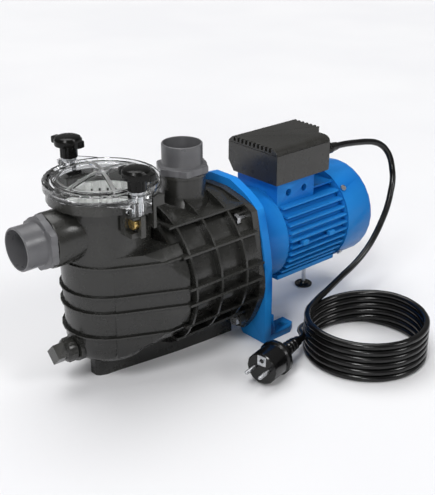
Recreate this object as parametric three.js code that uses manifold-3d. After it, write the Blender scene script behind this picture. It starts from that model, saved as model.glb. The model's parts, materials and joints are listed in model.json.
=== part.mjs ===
// Self-priming pool pump with strainer pot, blue fan-cooled motor and coiled mains cord.
// Units are millimetres, +Z is up, +X points from the suction port to the motor fan.
// The origin is on the floor, midway between the suction mouth and the fan cover end.
import * as THREE from 'three';
import { mergeVertices } from 'three/addons/utils/BufferGeometryUtils.js';
import Module from 'manifold-3d';

const wasm = await Module();
wasm.setup();

// ---- driving dimensions ------------------------------------------------------------
const GAP = 0.3;                      // clearance between touching pieces
const SHAFT_Z = 111;                  // height of the motor and impeller axis

const STRAINER_X = -145;              // axis of the strainer pot
const POT_RADIUS = 53.5;
const POT_BORE = 49;
const POT_FLOOR_Z = 31;               // outside of the pot's rounded floor
const POT_CAVITY_Z = 36;
const COLLAR_RADIUS = 64.4;
const COLLAR_Z = 224;
const COLLAR_TOP = 236;

const SUCTION_MOUTH_X = -260;
const SUCTION_Z = 191;
const SUCTION_SOCKET_X = -224.5;
const SUCTION_SOCKET_RADIUS = 32;
const DISCHARGE_X = -28;
const DISCHARGE_TOP_Z = 263;
const DISCHARGE_SOCKET_Z = 227.5;
const DISCHARGE_SOCKET_RADIUS = 28.4;
const PORT_BORE = 22.3;               // threaded bore of both sockets
const GASKET_SEAT_RADIUS = 26.3;
const GASKET_SEAT_DEPTH = 2.4;

const BARREL_RADIUS = 83.5;
const BARREL_FRONT_X = -97;
const FLANGE_FRONT_X = 23;
const FLANGE_BACK_X = 32.7;
const RIB_RADIUS = 93;
const RIB_THICKNESS = 3;
const RING_RIB_X = [-83, -44, -4];
const LONG_RIB_Z = [186, 157, 120.5, 100, 68, 45];
const POT_RIB_Z = [157, 120.5, 100, 68];
const CHAMBER_RADIUS = 68;
const CHAMBER_FRONT_X = -49;
const FLARE_TOP_Z = 169;
const FLARE_CORNER = [-89.5, -86.5];   // widest point of the flared sides, x and y
const FOOT_TOP_Z = 34;

const LID_RADIUS = 67.1;
const LID_BOTTOM = 236.4;
const LID_TOP = 248.2;
const LID_WINDOW_RADIUS = 54;
const LID_WINDOW_EDGE = 245.4;
const LID_CROWN = 253;
const KNOB_X = -3.6;                  // near hand screw, measured from the strainer axis
const KNOB_Y = -71.2;
const KNOB_BOTTOM = 252;
const KNOB_CAP_Z = 266;                // underside of the mushroom cap
const KNOB_TOP = 278.5;
const KNOB_STEM_RADIUS = 10.4;
const STUD_RADIUS = 4;
const NUT_Z = 215;
const NUT_RADIUS = 7;
const LUG_TOP = 225.4;

const DRAIN_Z = 46.5;
const DRAIN_SEAT_X = -197;

const BRACKET_FRONT_X = 33;
const BRACKET_BACK_X = 45;
const LANTERN_END_X = 98;
const LANTERN_RADIUS = 62;
const BRACKET_FOOT_END_X = 92;
const BOLT_Y = 55;
const BOLT_TOP_Z = 170;
const BOLT_BOTTOM_Z = 31;
const BOLT_RADIUS = 4;
const BOLT_HEAD_X = 7;
const ANCHOR_HOLE_X = 78;
const ANCHOR_HOLE_Y = 73;

const MOTOR_FRONT_X = 98.3;
const MOTOR_END_X = 207.8;
const MOTOR_CORE_RADIUS = 57;
const MOTOR_BORE = 53;
const FIN_TIP_RADIUS = 65;
const FIN_PITCH = 10;
const FIN_THICKNESS = 2.6;
const PEDESTAL_END_X = 167;
const PEDESTAL_HALF_WIDTH = 37.5;
const PEDESTAL_TOP = 189.7;

const STATOR_X = [122, 182];
const SHAFT_RADIUS = 7;
const COVER_RADIUS = 67.5;
const COVER_WALL = 2.1;
const COVER_FRONT_X = 208.1;
const COVER_END_X = 260;
const COVER_SLOTS = 10;
const COVER_SCREW_X = 213;
const COVER_SCREW_ANGLES = [46, 134, 226, 314];

const BOX_LEFT_X = 89;
const BOX_RIGHT_X = 187;
const BOX_STEP_X = 207.5;
const BOX_NEAR_Y = -45;
const BOX_FAR_Y = 46;
const BOX_BOTTOM = 190;
const BOX_SEAM = 229;
const BOX_TOP = 237;
const BOX_WALL = 2.6;
const GLAND_Y = -37.5;
const GLAND_Z = 216.5;
const GLAND_OUTER_X = 208.5;

const REAR_FOOT_X = 195;
const REAR_FOOT_HEIGHT = 7;
const FOOT_STUD_RADIUS = 3;

const CORD_RADIUS = 4.3;
const COIL_X = 116.7;
const COIL_Y = -181.7;
const COIL_RADIUS = 73.6;
const COIL_TURNS = 6;
const COIL_PITCH = 8.7;
const PLUG_FACE_X = -38.5;
const PLUG_FACE_Y = -154;
const PLUG_AXIS_Z = 22.7;
const PLUG_ANGLE = 192.8;             // direction the pins point, degrees from +X
const PLUG_NECK_LENGTH = 83;
const PIN_SPACING = 19;

// Route of the cord from the gland to the top of the coil.
const CORD_ROUTE = [
  [190, -37.5, 216.5], [206, -37.5, 216.5], [222, -38, 216], [238, -39, 214.6], [254, -40, 212.6],
  [268, -41.5, 210.6], [281, -43.5, 207.5], [292, -46.5, 202], [300, -50, 193.5], [304.5, -54, 182.5],
  [304.5, -59, 168], [300, -65, 154], [290, -71, 139.5], [276.5, -77, 122], [260, -81.5, 105],
  [242, -85, 88.5], [222, -87.5, 74.5], [198, -90, 63.5], [170, -93.5, 56.3], [134.5, -101.7, 51.5],
];

// Number of flat sides used for round shapes of different sizes.
const LARGE = 28;
const MEDIUM = 20;
const SMALL = 14;
const TINY = 8;

// ---- solid helpers -----------------------------------------------------------------
const radians = THREE.MathUtils.degToRad;

/** Turn a three.js geometry into a closed manifold solid with outward faces. */
function solid(geometry) {
  const bare = new THREE.BufferGeometry();
  bare.setAttribute('position', geometry.getAttribute('position'));
  if (geometry.index) bare.setIndex(geometry.index);
  const merged = mergeVertices(bare, 1e-4);
  const points = merged.getAttribute('position').array;
  const source = merged.index.array;
  const faces = [];
  let volume = 0;
  for (let i = 0; i < source.length; i += 3) {
    const [a, b, c] = [source[i], source[i + 1], source[i + 2]];
    if (a === b || b === c || c === a) continue;
    faces.push(a, b, c);
    const corners = [a, b, c].map((index) => new THREE.Vector3().fromArray(points, index * 3));
    volume += corners[0].dot(corners[1].cross(corners[2]));
  }
  if (volume < 0) faces.reverse();
  return new wasm.Manifold(new wasm.Mesh({
    numProp: 3,
    vertProperties: new Float32Array(points),
    triVerts: new Uint32Array(faces),
  }));
}

const union = (pieces) => wasm.Manifold.union(pieces.flat());
const cut = (body, tools) => body.subtract(union(tools));

/** Revolve [radius, height] points about a vertical axis at x, y. */
function turnedZ(points, segments, x = 0, y = 0) {
  const profile = points.map(([radius, height]) => new THREE.Vector2(radius, height));
  const geometry = new THREE.LatheGeometry(profile, segments);
  geometry.rotateX(Math.PI / 2);
  geometry.translate(x, y, 0);
  return solid(geometry);
}

/** Revolve [radius, x] points about an axis parallel to X at y, z. */
function turnedX(points, segments, y = 0, z = SHAFT_Z) {
  const profile = points.map(([radius, height]) => new THREE.Vector2(radius, height));
  const geometry = new THREE.LatheGeometry(profile, segments);
  geometry.rotateX(Math.PI / 2);
  geometry.rotateY(Math.PI / 2);
  geometry.translate(0, y, z);
  return solid(geometry);
}

/** Close a profile of a ring so that it ends where it starts. */
const closed = (points) => [...points, points[0]];

const rodZ = (radius, bottom, top, x = 0, y = 0, segments = SMALL) => (
  turnedZ([[0, bottom], [radius, bottom], [radius, top], [0, top]], segments, x, y));
const rodX = (radius, from, to, y = 0, z = SHAFT_Z, segments = SMALL) => (
  turnedX([[0, from], [radius, from], [radius, to], [0, to]], segments, y, z));

/** A round bar along Y. */
function rodY(radius, from, to, x, z, segments = SMALL) {
  const geometry = new THREE.CylinderGeometry(radius, radius, to - from, segments);
  geometry.translate(x, (from + to) / 2, z);
  return solid(geometry);
}

/** A plain block given by its lower and upper corner. */
function block([x0, y0, z0], [x1, y1, z1]) {
  const geometry = new THREE.BoxGeometry(x1 - x0, y1 - y0, z1 - z0);
  geometry.translate((x0 + x1) / 2, (y0 + y1) / 2, (z0 + z1) / 2);
  return solid(geometry);
}

/** Extrude an outline of [x, y] points upward. */
function plateZ(outline, bottom, top) {
  const shape = new THREE.Shape(outline.map(([x, y]) => new THREE.Vector2(x, y)));
  const geometry = new THREE.ExtrudeGeometry(shape, { depth: top - bottom, bevelEnabled: false });
  geometry.translate(0, 0, bottom);
  return solid(geometry);
}

/** Extrude an outline of [y, z] points along X. */
function plateX(outline, from, to) {
  const shape = new THREE.Shape(outline.map(([y, z]) => new THREE.Vector2(y, z)));
  const geometry = new THREE.ExtrudeGeometry(shape, { depth: to - from, bevelEnabled: false });
  const turn = new THREE.Matrix4().makeBasis(
    new THREE.Vector3(0, 1, 0), new THREE.Vector3(0, 0, 1), new THREE.Vector3(1, 0, 0));
  geometry.applyMatrix4(turn);
  geometry.translate(from, 0, 0);
  return solid(geometry);
}

/** Outline of a regular polygon or circle centred on a, b. */
function polygon(sides, radius, startDegrees = 0, a = 0, b = 0) {
  const points = [];
  for (let i = 0; i < sides; i += 1) {
    const angle = radians(startDegrees + (360 * i) / sides);
    points.push([a + radius * Math.cos(angle), b + radius * Math.sin(angle)]);
  }
  return points;
}

/** Smooth curve through a few [a, b] points. */
function smooth(points, divisions) {
  const curve = new THREE.SplineCurve(points.map(([a, b]) => new THREE.Vector2(a, b)));
  return curve.getPoints(divisions).map((point) => [point.x, point.y]);
}

/** Mirror a half outline of [a, b] points with positive a into a full one. */
const mirrored = (half) => [...half, ...half.slice().reverse().map(([a, b]) => [-a, b])];

/** Turn a solid about a vertical axis at x, y. */
const spunZ = (body, degrees, x, y) => (
  body.translate([-x, -y, 0]).rotate([0, 0, degrees]).translate([x, y, 0]));
/** Turn a solid about the shaft axis. */
const spunX = (body, degrees, y = 0, z = SHAFT_Z) => (
  body.translate([0, -y, -z]).rotate([degrees, 0, 0]).translate([0, y, z]));
/** The same solid on the far side of the strainer pot. */
const acrossPot = (body) => spunZ(body, 180, STRAINER_X, 0);

// ---- materials and the assembly ----------------------------------------------------
const MATERIALS = {
  blackPlastic: { color: 0x3a3a37, roughness: 0.5, metalness: 0 },
  glossBlack: { color: 0x1b1b1a, roughness: 0.3, metalness: 0 },
  greyPlastic: { color: 0x6e6e72, roughness: 0.55, metalness: 0 },
  clearPlastic: { color: 0xdfe6ea, roughness: 0.08, metalness: 0 },
  bluePaint: { color: 0x1d74d6, roughness: 0.35, metalness: 0.1 },
  boxPlastic: { color: 0x3d3b38, roughness: 0.4, metalness: 0 },
  rubber: { color: 0x18181a, roughness: 0.75, metalness: 0 },
  basketPlastic: { color: 0xd8d9d4, roughness: 0.55, metalness: 0 },
  steel: { color: 0xb9bcbf, roughness: 0.3, metalness: 1 },
  brass: { color: 0xb68d45, roughness: 0.32, metalness: 1 },
  castIron: { color: 0x5b5d60, roughness: 0.6, metalness: 0.8 },
  copper: { color: 0xb5642f, roughness: 0.35, metalness: 1 },
  ceramic: { color: 0xe8e4da, roughness: 0.35, metalness: 0 },
};

const assembly = new THREE.Group();
assembly.name = 'pool_pump';

/** Add one named piece to the assembly. */
function add(name, body, finish) {
  const mesh = body.getMesh();
  const geometry = new THREE.BufferGeometry();
  geometry.setAttribute('position', new THREE.BufferAttribute(new Float32Array(mesh.vertProperties), 3));
  geometry.setIndex(new THREE.BufferAttribute(new Uint32Array(mesh.triVerts), 1));
  geometry.computeVertexNormals();
  const piece = new THREE.Mesh(geometry, new THREE.MeshStandardMaterial(MATERIALS[finish]));
  piece.name = name;
  assembly.add(piece);
}

// ---- pump body ---------------------------------------------------------------------
const FLANGE_OUTLINE = mirrored([
  ...smooth([[14, 196.5], [42, 190.5], [62, 183.5]], 4),
  ...smooth([[68, 180], [70.5, 173], [81, 115], [86, 88], [83, 64], [69, 33]], 9), [56, 15],
]);
const FOOT_OUTLINE = [
  [-172, -5], [-169, -9], [-161, -12.5], [-145, -14], [-106, -20], [-63, -26], [-16, -30], [25, -32],
  [25, 32], [-16, 30], [-63, 26], [-106, 20], [-145, 14], [-161, 12.5], [-169, 9], [-172, 5],
];

/** Plan outline of the flared sides: lines from the widest point that touch the round pot. */
function flareOutline(grow) {
  const [cornerX, cornerY] = [FLARE_CORNER[0], FLARE_CORNER[1] - grow];
  const radius = POT_RADIUS + grow;
  const reach = Math.hypot(cornerX - STRAINER_X, cornerY);
  const touch = Math.atan2(cornerY, cornerX - STRAINER_X) - Math.acos(radius / reach);
  const near = [
    [STRAINER_X + radius * Math.cos(touch), radius * Math.sin(touch)],
    [cornerX, cornerY], [cornerX + 3, cornerY + 3],
  ];
  return [...near, ...near.slice().reverse().map(([x, y]) => [x, -y])];
}

/** The flared sides between the pot and the barrel, grown outward by `grow`. */
function flaredSides(bottom, top, grow) {
  const section = polygon(LARGE, 1).map(([y, z]) => [y * (88 + grow), SHAFT_Z + z * (84 + grow)]);
  const barrelShape = plateX(section, STRAINER_X - POT_RADIUS, -80);
  return plateZ(flareOutline(grow), bottom, top).intersect(barrelShape);
}

/** The round bodies of the pot, barrel and both sockets. */
function bodyShell() {
  const pot = turnedZ([
    [0, POT_FLOOR_Z - 5], [26, POT_FLOOR_Z - 5], [41, POT_FLOOR_Z], [48.5, 39], [52, 54],
    [POT_RADIUS, 150],
    [54.5, COLLAR_Z - 3], [COLLAR_RADIUS, COLLAR_Z], [COLLAR_RADIUS, COLLAR_TOP], [0, COLLAR_TOP],
  ], LARGE, STRAINER_X);
  const barrel = turnedX([
    [0, BARREL_FRONT_X], [BARREL_RADIUS - 3, BARREL_FRONT_X], [BARREL_RADIUS, BARREL_FRONT_X + 3],
    [BARREL_RADIUS, FLANGE_FRONT_X + 1], [0, FLANGE_FRONT_X + 1],
  ], LARGE);
  const suctionSocket = turnedX([
    [0, SUCTION_SOCKET_X], [SUCTION_SOCKET_RADIUS - 1, SUCTION_SOCKET_X],
    [SUCTION_SOCKET_RADIUS, SUCTION_SOCKET_X + 1.5], [SUCTION_SOCKET_RADIUS, STRAINER_X], [0, STRAINER_X],
  ], MEDIUM, 0, SUCTION_Z);
  const dischargeSocket = turnedZ([
    [0, 150], [33, 150], [33, 189], [29.5, 198], [DISCHARGE_SOCKET_RADIUS, 202],
    [DISCHARGE_SOCKET_RADIUS, 223.5], [30, 224], [30, DISCHARGE_SOCKET_Z], [0, DISCHARGE_SOCKET_Z],
  ], MEDIUM, DISCHARGE_X);
  return [pot, barrel, suctionSocket, dischargeSocket, flaredSides(POT_FLOOR_Z, FLARE_TOP_Z, 0)];
}

/** Ribs standing on the barrel, the flared sides and the pot. */
function bodyRibs() {
  const half = RIB_THICKNESS / 2;
  const ribs = RING_RIB_X.map((x) => rodX(RIB_RADIUS, x - half, x + half, 0, SHAFT_Z, LARGE));
  for (const z of LONG_RIB_Z) {
    const halfWidth = Math.sqrt(RIB_RADIUS ** 2 - (z - SHAFT_Z) ** 2);
    ribs.push(block(
      [BARREL_FRONT_X + 4, -halfWidth, z - half], [FLANGE_FRONT_X + 1, halfWidth, z + half]));
  }
  for (const z of POT_RIB_Z) {
    ribs.push(flaredSides(z - 1, z + 1, 3));
    ribs.push(rodZ(POT_RADIUS + 2.6, z - 1, z + 1, STRAINER_X, 0, LARGE));
  }
  return ribs;
}

/** One lug under the collar: a cheek and a top web hold the brass nut, with a hook beside it. */
function handScrewLug() {
  const x = STRAINER_X + KNOB_X;
  const cheek = [x - 4.2, x + 1.8];
  return [
    block([cheek[0], -82, 200], [cheek[1], -58, LUG_TOP]),
    block([x - 13.5, -66, 200], [cheek[1], -56, COLLAR_TOP]),
    block([x - 13.5, -80.5, 222.3 + GAP], [cheek[1], -58, LUG_TOP]),
    block([x - 13.5, -77, 200], [cheek[1], -58, 206]),
    block([STRAINER_X + 20, -68, 200], [STRAINER_X + 24, -48, COLLAR_TOP]),
    block([STRAINER_X + 20, -66, COLLAR_Z], [STRAINER_X + 37, -50, COLLAR_TOP]),
  ];
}

/** Seat for the brass nut and the passage for the stud through a lug. */
function handScrewPocket() {
  const x = STRAINER_X + KNOB_X;
  return [
    rodX(NUT_RADIUS + GAP, x - 14, x + 8, KNOB_Y, NUT_Z, SMALL),
    rodZ(STUD_RADIUS + 0.6, 202.5, LUG_TOP + 1, x, KNOB_Y, SMALL),
  ];
}

function pumpBody() {
  const flange = plateX(FLANGE_OUTLINE, FLANGE_FRONT_X, FLANGE_BACK_X);
  const foot = plateZ(FOOT_OUTLINE, 0, FOOT_TOP_Z);
  const drainBoss = rodX(17, DRAIN_SEAT_X, STRAINER_X - 20, 0, DRAIN_Z, SMALL);
  const lowerBoltBosses = [-BOLT_Y, BOLT_Y].map((y) => (
    rodX(10, BOLT_HEAD_X + 5.6, FLANGE_FRONT_X + 1, y, BOLT_BOTTOM_Z, TINY)));
  const lug = handScrewLug();
  const outside = union([
    bodyShell(), bodyRibs(), flange, foot, drainBoss, lowerBoltBosses, lug, lug.map(acrossPot),
  ]);

  const potCavity = turnedZ([
    [0, POT_CAVITY_Z], [42, POT_CAVITY_Z], [POT_BORE, POT_CAVITY_Z + 10], [POT_BORE, COLLAR_TOP + 1],
    [0, COLLAR_TOP + 1],
  ], MEDIUM, STRAINER_X);
  const oringGroove = turnedZ(closed([[56, 233.4], [61, 233.4], [61, 237], [56, 237]]), MEDIUM, STRAINER_X);
  const suctionBore = turnedX([
    [0, SUCTION_SOCKET_X - 1], [GASKET_SEAT_RADIUS, SUCTION_SOCKET_X - 1],
    [GASKET_SEAT_RADIUS, SUCTION_SOCKET_X + GASKET_SEAT_DEPTH],
    [PORT_BORE, SUCTION_SOCKET_X + GASKET_SEAT_DEPTH],
    [PORT_BORE, SUCTION_SOCKET_X + 22], [20, SUCTION_SOCKET_X + 22], [20, STRAINER_X], [0, STRAINER_X],
  ], MEDIUM, 0, SUCTION_Z);
  const dischargeBore = turnedZ([
    [0, SHAFT_Z], [20, SHAFT_Z], [20, DISCHARGE_SOCKET_Z - 22], [PORT_BORE, DISCHARGE_SOCKET_Z - 22],
    [PORT_BORE, DISCHARGE_SOCKET_Z - GASKET_SEAT_DEPTH],
    [GASKET_SEAT_RADIUS, DISCHARGE_SOCKET_Z - GASKET_SEAT_DEPTH],
    [GASKET_SEAT_RADIUS, DISCHARGE_SOCKET_Z + 1], [0, DISCHARGE_SOCKET_Z + 1],
  ], MEDIUM, DISCHARGE_X);
  const chamber = rodX(CHAMBER_RADIUS, CHAMBER_FRONT_X, FLANGE_BACK_X + 1, 0, SHAFT_Z, MEDIUM);
  const sealSeat = turnedX(closed([
    [70.5, FLANGE_BACK_X - 3], [75, FLANGE_BACK_X - 3], [75, FLANGE_BACK_X + 1], [70.5, FLANGE_BACK_X + 1],
  ]), MEDIUM);
  const eyePassage = rodX(20, STRAINER_X, CHAMBER_FRONT_X + 1, 0, SHAFT_Z, MEDIUM);
  const drainHole = rodX(8, DRAIN_SEAT_X - 1, STRAINER_X - 20, 0, DRAIN_Z, SMALL);
  const pocket = handScrewPocket();
  const boltCuts = [];
  for (const side of [-1, 1]) {
    for (const z of [BOLT_TOP_Z, BOLT_BOTTOM_Z]) {
      boltCuts.push(rodX(BOLT_RADIUS + GAP, BOLT_HEAD_X, FLANGE_BACK_X + 1, side * BOLT_Y, z, TINY));
    }
    boltCuts.push(rodX(8.4, 0, BOLT_HEAD_X + 5.6, side * BOLT_Y, BOLT_TOP_Z, TINY));
    boltCuts.push(spunX(
      block([0, side * 80 - 8.4, SHAFT_Z], [BOLT_HEAD_X + 5.6, side * 80 + 8.4, SHAFT_Z + 30])
        .translate([0, -side * 80, 81]), -side * 43));
  }
  return cut(outside, [
    potCavity, oringGroove, suctionBore, dischargeBore, chamber, sealSeat, eyePassage, drainHole, boltCuts,
    pocket, pocket.map(acrossPot),
  ]);
}

// ---- strainer: lid, basket and hand screws -----------------------------------------
/** Height of the domed lid window at a distance from its axis. */
function windowHeight(radius) {
  return LID_CROWN - (LID_CROWN - LID_WINDOW_EDGE) * (radius / LID_WINDOW_RADIUS) ** 2;
}

/** Profile of the dome from its edge to its crown, lifted by a height. */
function domeProfile(lift) {
  return [1, 0.78, 0.52, 0.26, 0].map((share) => share * LID_WINDOW_RADIUS)
    .map((radius) => [radius, windowHeight(radius) + lift]);
}

function strainerLid() {
  const x = STRAINER_X + KNOB_X;
  const disc = turnedZ([
    ...domeProfile(-3.4).slice(1).reverse(), [53, 242], [55, LID_BOTTOM], [LID_RADIUS, LID_BOTTOM],
    [LID_RADIUS, LID_TOP - 2], [LID_RADIUS - 2, LID_TOP], [57, LID_TOP], ...domeProfile(0),
  ], LARGE, STRAINER_X);
  const ring = turnedZ(closed([
    [32, windowHeight(32) - 1], [34, windowHeight(34) - 1],
    [34, windowHeight(34) + 1.6], [32, windowHeight(32) + 1.6],
  ]), MEDIUM, STRAINER_X);
  const boss = turnedZ([[0, 250], [11, 250], [10, LID_CROWN + 2.6], [0, LID_CROWN + 2.6]], SMALL, STRAINER_X);
  const ribLayer = turnedZ([
    ...domeProfile(-2).slice(1).reverse(), [56, 243], [56, LID_TOP], ...domeProfile(2.4),
  ], LARGE, STRAINER_X);
  const ribs = [12, 65, 192, 245].map((angle) => (
    spunZ(block([STRAINER_X + 6, -1.3, 240], [STRAINER_X + 56, 1.3, 260]), angle, STRAINER_X, 0)
      .intersect(ribLayer)));
  const ear = [
    block([x - 12, -83, 227], [x + 10, -66.2, LID_TOP]),
    block([x - 12, -70, LID_BOTTOM], [x + 10, -52, LID_TOP]),
  ];
  const studHole = rodZ(STUD_RADIUS + GAP, 226, LID_TOP + 1, x, KNOB_Y, SMALL);
  const collarRelief = turnedZ(closed([
    [40, 220], [COLLAR_RADIUS + 1.6, 220], [COLLAR_RADIUS + 1.6, LID_BOTTOM], [40, LID_BOTTOM],
  ]), LARGE, STRAINER_X);
  const oringGroove = turnedZ(closed([[56, 236], [61, 236], [61, 239], [56, 239]]), MEDIUM, STRAINER_X);
  const lugRelief = block([x - 17, -66.3, 220], [x + 11, -50, LID_BOTTOM]);
  const outside = union([disc, ring, boss, ...ribs, ...ear, ...ear.map(acrossPot)]);
  return cut(outside, [
    studHole, acrossPot(studHole), collarRelief, lugRelief, acrossPot(lugRelief), oringGroove,
  ]);
}

function lidOring() {
  return turnedZ(closed([
    [56.3, 234.5], [57.5, 233.7], [59.5, 233.7], [60.7, 234.5], [60.7, 237.6], [59.5, 238.6],
    [57.5, 238.6], [56.3, 237.6],
  ]), MEDIUM, STRAINER_X);
}

/** Tapered cup with rows of narrow slots all round. */
function strainerBasket() {
  const cup = turnedZ([
    [0, 42], [44.5, 42], [46.4, 221], [48.4, 222], [48.4, 226], [44.2, 226], [42.3, 44.5], [0, 44.5],
  ], MEDIUM, STRAINER_X);
  const slots = [];
  for (let i = 0; i < MEDIUM; i += 1) {
    for (const [bottom, top] of [[56, 128], [138, 210]]) {
      const slot = block([STRAINER_X + 38, -1.7, bottom], [STRAINER_X + 52, 1.7, top]);
      slots.push(spunZ(slot, (i * 360) / MEDIUM, STRAINER_X, 0));
    }
  }
  return cut(cup, slots);
}

function basketHandle() {
  const ring = turnedZ(closed([[38, 227], [41, 227], [41, 231], [38, 231]]), MEDIUM, STRAINER_X);
  const half = block([STRAINER_X - 60, -60, 226], [STRAINER_X + 1, 60, 232]);
  const ends = [-1, 1].map((side) => (
    rodY(2.3, side * 43.5 - 4.5, side * 43.5 + 4.5, STRAINER_X, 228.8, TINY)));
  return union([ring.intersect(half), ends]);
}

function handKnob() {
  const x = STRAINER_X + KNOB_X;
  const stem = rodZ(KNOB_STEM_RADIUS, KNOB_BOTTOM, KNOB_CAP_Z + 2, x, KNOB_Y, MEDIUM);
  const cap = turnedZ([
    [0, KNOB_CAP_Z], [15, KNOB_CAP_Z], [16.6, KNOB_CAP_Z + 3], [16.2, KNOB_TOP - 4], [12, KNOB_TOP - 1],
    [0, KNOB_TOP],
  ], MEDIUM, x, KNOB_Y);
  const wingTop = KNOB_TOP - 4;
  const wings = [100, -75].map((angle) => spunZ(union([
    block([x + 10, KNOB_Y - 5.5, KNOB_CAP_Z + 1], [x + 18, KNOB_Y + 5.5, wingTop]),
    rodZ(5.5, KNOB_CAP_Z + 1, wingTop, x + 17, KNOB_Y, TINY),
  ]), angle, x, KNOB_Y));
  const flutes = polygon(8, KNOB_STEM_RADIUS + 1.1, 0, x, KNOB_Y).map(([fluteX, fluteY]) => (
    rodZ(2, KNOB_BOTTOM - 1, KNOB_CAP_Z, fluteX, fluteY, TINY)));
  const studHole = rodZ(STUD_RADIUS + GAP, KNOB_BOTTOM - 1, KNOB_CAP_Z + GAP, x, KNOB_Y, SMALL);
  return cut(union([stem, cap, wings]), [flutes, studHole]);
}

function handStud() {
  const x = STRAINER_X + KNOB_X;
  return turnedZ([
    [0, 205.5], [3.2, 205.5], [STUD_RADIUS, 206.6], [STUD_RADIUS, KNOB_CAP_Z], [0, KNOB_CAP_Z],
  ], SMALL, x, KNOB_Y);
}

function handWasher() {
  const inner = STUD_RADIUS + GAP;
  const [bottom, top] = [LID_TOP + GAP, KNOB_BOTTOM - GAP];
  return turnedZ(closed([[inner, bottom], [8.8, bottom], [8.8, top], [inner, top]]), SMALL,
    STRAINER_X + KNOB_X, KNOB_Y);
}

function brassNut() {
  const x = STRAINER_X + KNOB_X;
  const [front, back] = [x - 9.6, x + 5.6];
  const barrel = turnedX([
    [0, front], [NUT_RADIUS - 1, front], [NUT_RADIUS, front + 1], [NUT_RADIUS, back - 1],
    [NUT_RADIUS - 1, back], [0, back],
  ], SMALL, KNOB_Y, NUT_Z);
  return cut(barrel, [rodZ(STUD_RADIUS + GAP, NUT_Z - 10, NUT_Z + 10, x, KNOB_Y, SMALL)]);
}

// ---- ports and drain ---------------------------------------------------------------
/** Pipe adapter standing on its socket along +Z: pipe end up, threaded spigot down. */
function portAdapter(socketFace, mouth) {
  const hexBottom = socketFace + 0.5;
  const hexTop = hexBottom + 8;
  const pipe = turnedZ([
    [0, hexBottom], [30, hexBottom], [30, hexTop + 0.5], [26, hexTop + 1.5], [25, hexTop + 2.5],
    [25, mouth - 1], [24.3, mouth], [0, mouth],
  ], MEDIUM);
  const hexagon = plateZ(polygon(6, 33.5), hexBottom, hexTop);
  const spigot = rodZ(PORT_BORE - GAP, socketFace - 20, hexBottom + 1, 0, 0, MEDIUM);
  const bore = turnedZ([
    [0, socketFace - 21], [19, socketFace - 21], [19, hexTop], [21.6, hexTop + 4], [21.6, mouth + 1],
    [0, mouth + 1],
  ], MEDIUM);
  return cut(union([pipe, hexagon, spigot]), [bore]);
}

function suctionAdapter() {
  const upright = portAdapter(0, SUCTION_SOCKET_X - SUCTION_MOUTH_X);
  return upright.rotate([0, -90, 0]).translate([SUCTION_SOCKET_X, 0, SUCTION_Z]);
}

const dischargeAdapter = () => (
  portAdapter(DISCHARGE_SOCKET_Z, DISCHARGE_TOP_Z).translate([DISCHARGE_X, 0, 0]));

/** Flat gasket in the seat of a socket whose face is at the given height. */
function portGasket(face) {
  const [bottom, top] = [face - GASKET_SEAT_DEPTH + GAP, face + 0.2];
  const inner = PORT_BORE + 0.1;
  const outer = GASKET_SEAT_RADIUS - GAP;
  return turnedZ(closed([[inner, bottom], [outer, bottom], [outer, top], [inner, top]]), MEDIUM);
}

const suctionGasket = () => portGasket(0).rotate([0, -90, 0]).translate([SUCTION_SOCKET_X, 0, SUCTION_Z]);
const dischargeGasket = () => portGasket(DISCHARGE_SOCKET_Z).translate([DISCHARGE_X, 0, 0]);

function drainPlug() {
  const flangeBack = DRAIN_SEAT_X - 2.1;
  const flangeFront = flangeBack - 12.5;
  const head = 26;
  const barrel = turnedX([
    [0, flangeFront - 1], [10, flangeFront - 1], [14, flangeFront + 2], [14, flangeBack], [7.7, flangeBack],
    [7.7, DRAIN_SEAT_X + 5], [6.5, DRAIN_SEAT_X + 6], [0, DRAIN_SEAT_X + 6],
  ], SMALL, 0, DRAIN_Z);
  const hexagon = plateX(polygon(6, 15, 0, 0, DRAIN_Z), flangeFront + 3, flangeBack - 2);
  const square = plateX(polygon(4, head / 2, 0, 0, DRAIN_Z), flangeFront - 14, flangeFront);
  return union([barrel, hexagon, square]);
}

function drainOring() {
  const [front, back] = [DRAIN_SEAT_X - 1.8, DRAIN_SEAT_X - GAP];
  return turnedX(closed([[8.2, front], [12, front], [12, back], [8.2, back]]), SMALL, 0, DRAIN_Z);
}

// ---- hydraulics and shaft seal -----------------------------------------------------
function diffuser() {
  return turnedX(closed([
    [15, -66], [19.7, -66], [19.7, -46], [56, -41], [62, -32], [62, 14], [59.5, 14], [59.5, -30],
    [55, -37.5], [15, -43],
  ]), MEDIUM);
}

function impeller() {
  const backDisc = turnedX([[0, -1], [54, -1], [54, 2], [12, 3.5], [12, 20], [0, 20]], MEDIUM);
  const frontDisc = turnedX(closed([
    [11.5, -60], [14, -60], [14, -33], [54, -22], [54, -19.5], [11.5, -30.5],
  ]), MEDIUM);
  const hub = turnedX([[0, -18], [7, -18], [11, -1], [0, -1]], SMALL);
  const vanes = [];
  for (let i = 0; i < 5; i += 1) {
    const outline = [];
    for (const offset of [1.2, -1.2]) {
      const edge = [];
      for (let step = 0; step <= 4; step += 1) {
        const radius = 13.5 + 10 * step;
        const angle = radians(i * 72 + step * 16) + offset / radius;
        edge.push([radius * Math.cos(angle), SHAFT_Z + radius * Math.sin(angle)]);
      }
      outline.push(...(offset > 0 ? edge : edge.reverse()));
    }
    vanes.push(plateX(outline, -34, 0));
  }
  const vaneSpace = turnedX([[0, -30], [13, -30], [14, -32.5], [54, -21.5], [54, 0], [0, 0]], MEDIUM);
  const bladed = union(vanes).intersect(vaneSpace);
  const shaftHole = rodX(SHAFT_RADIUS - 1 + GAP, -12, 21, 0, SHAFT_Z, SMALL);
  return cut(union([backDisc, frontDisc, hub, bladed]), [shaftHole]);
}

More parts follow.
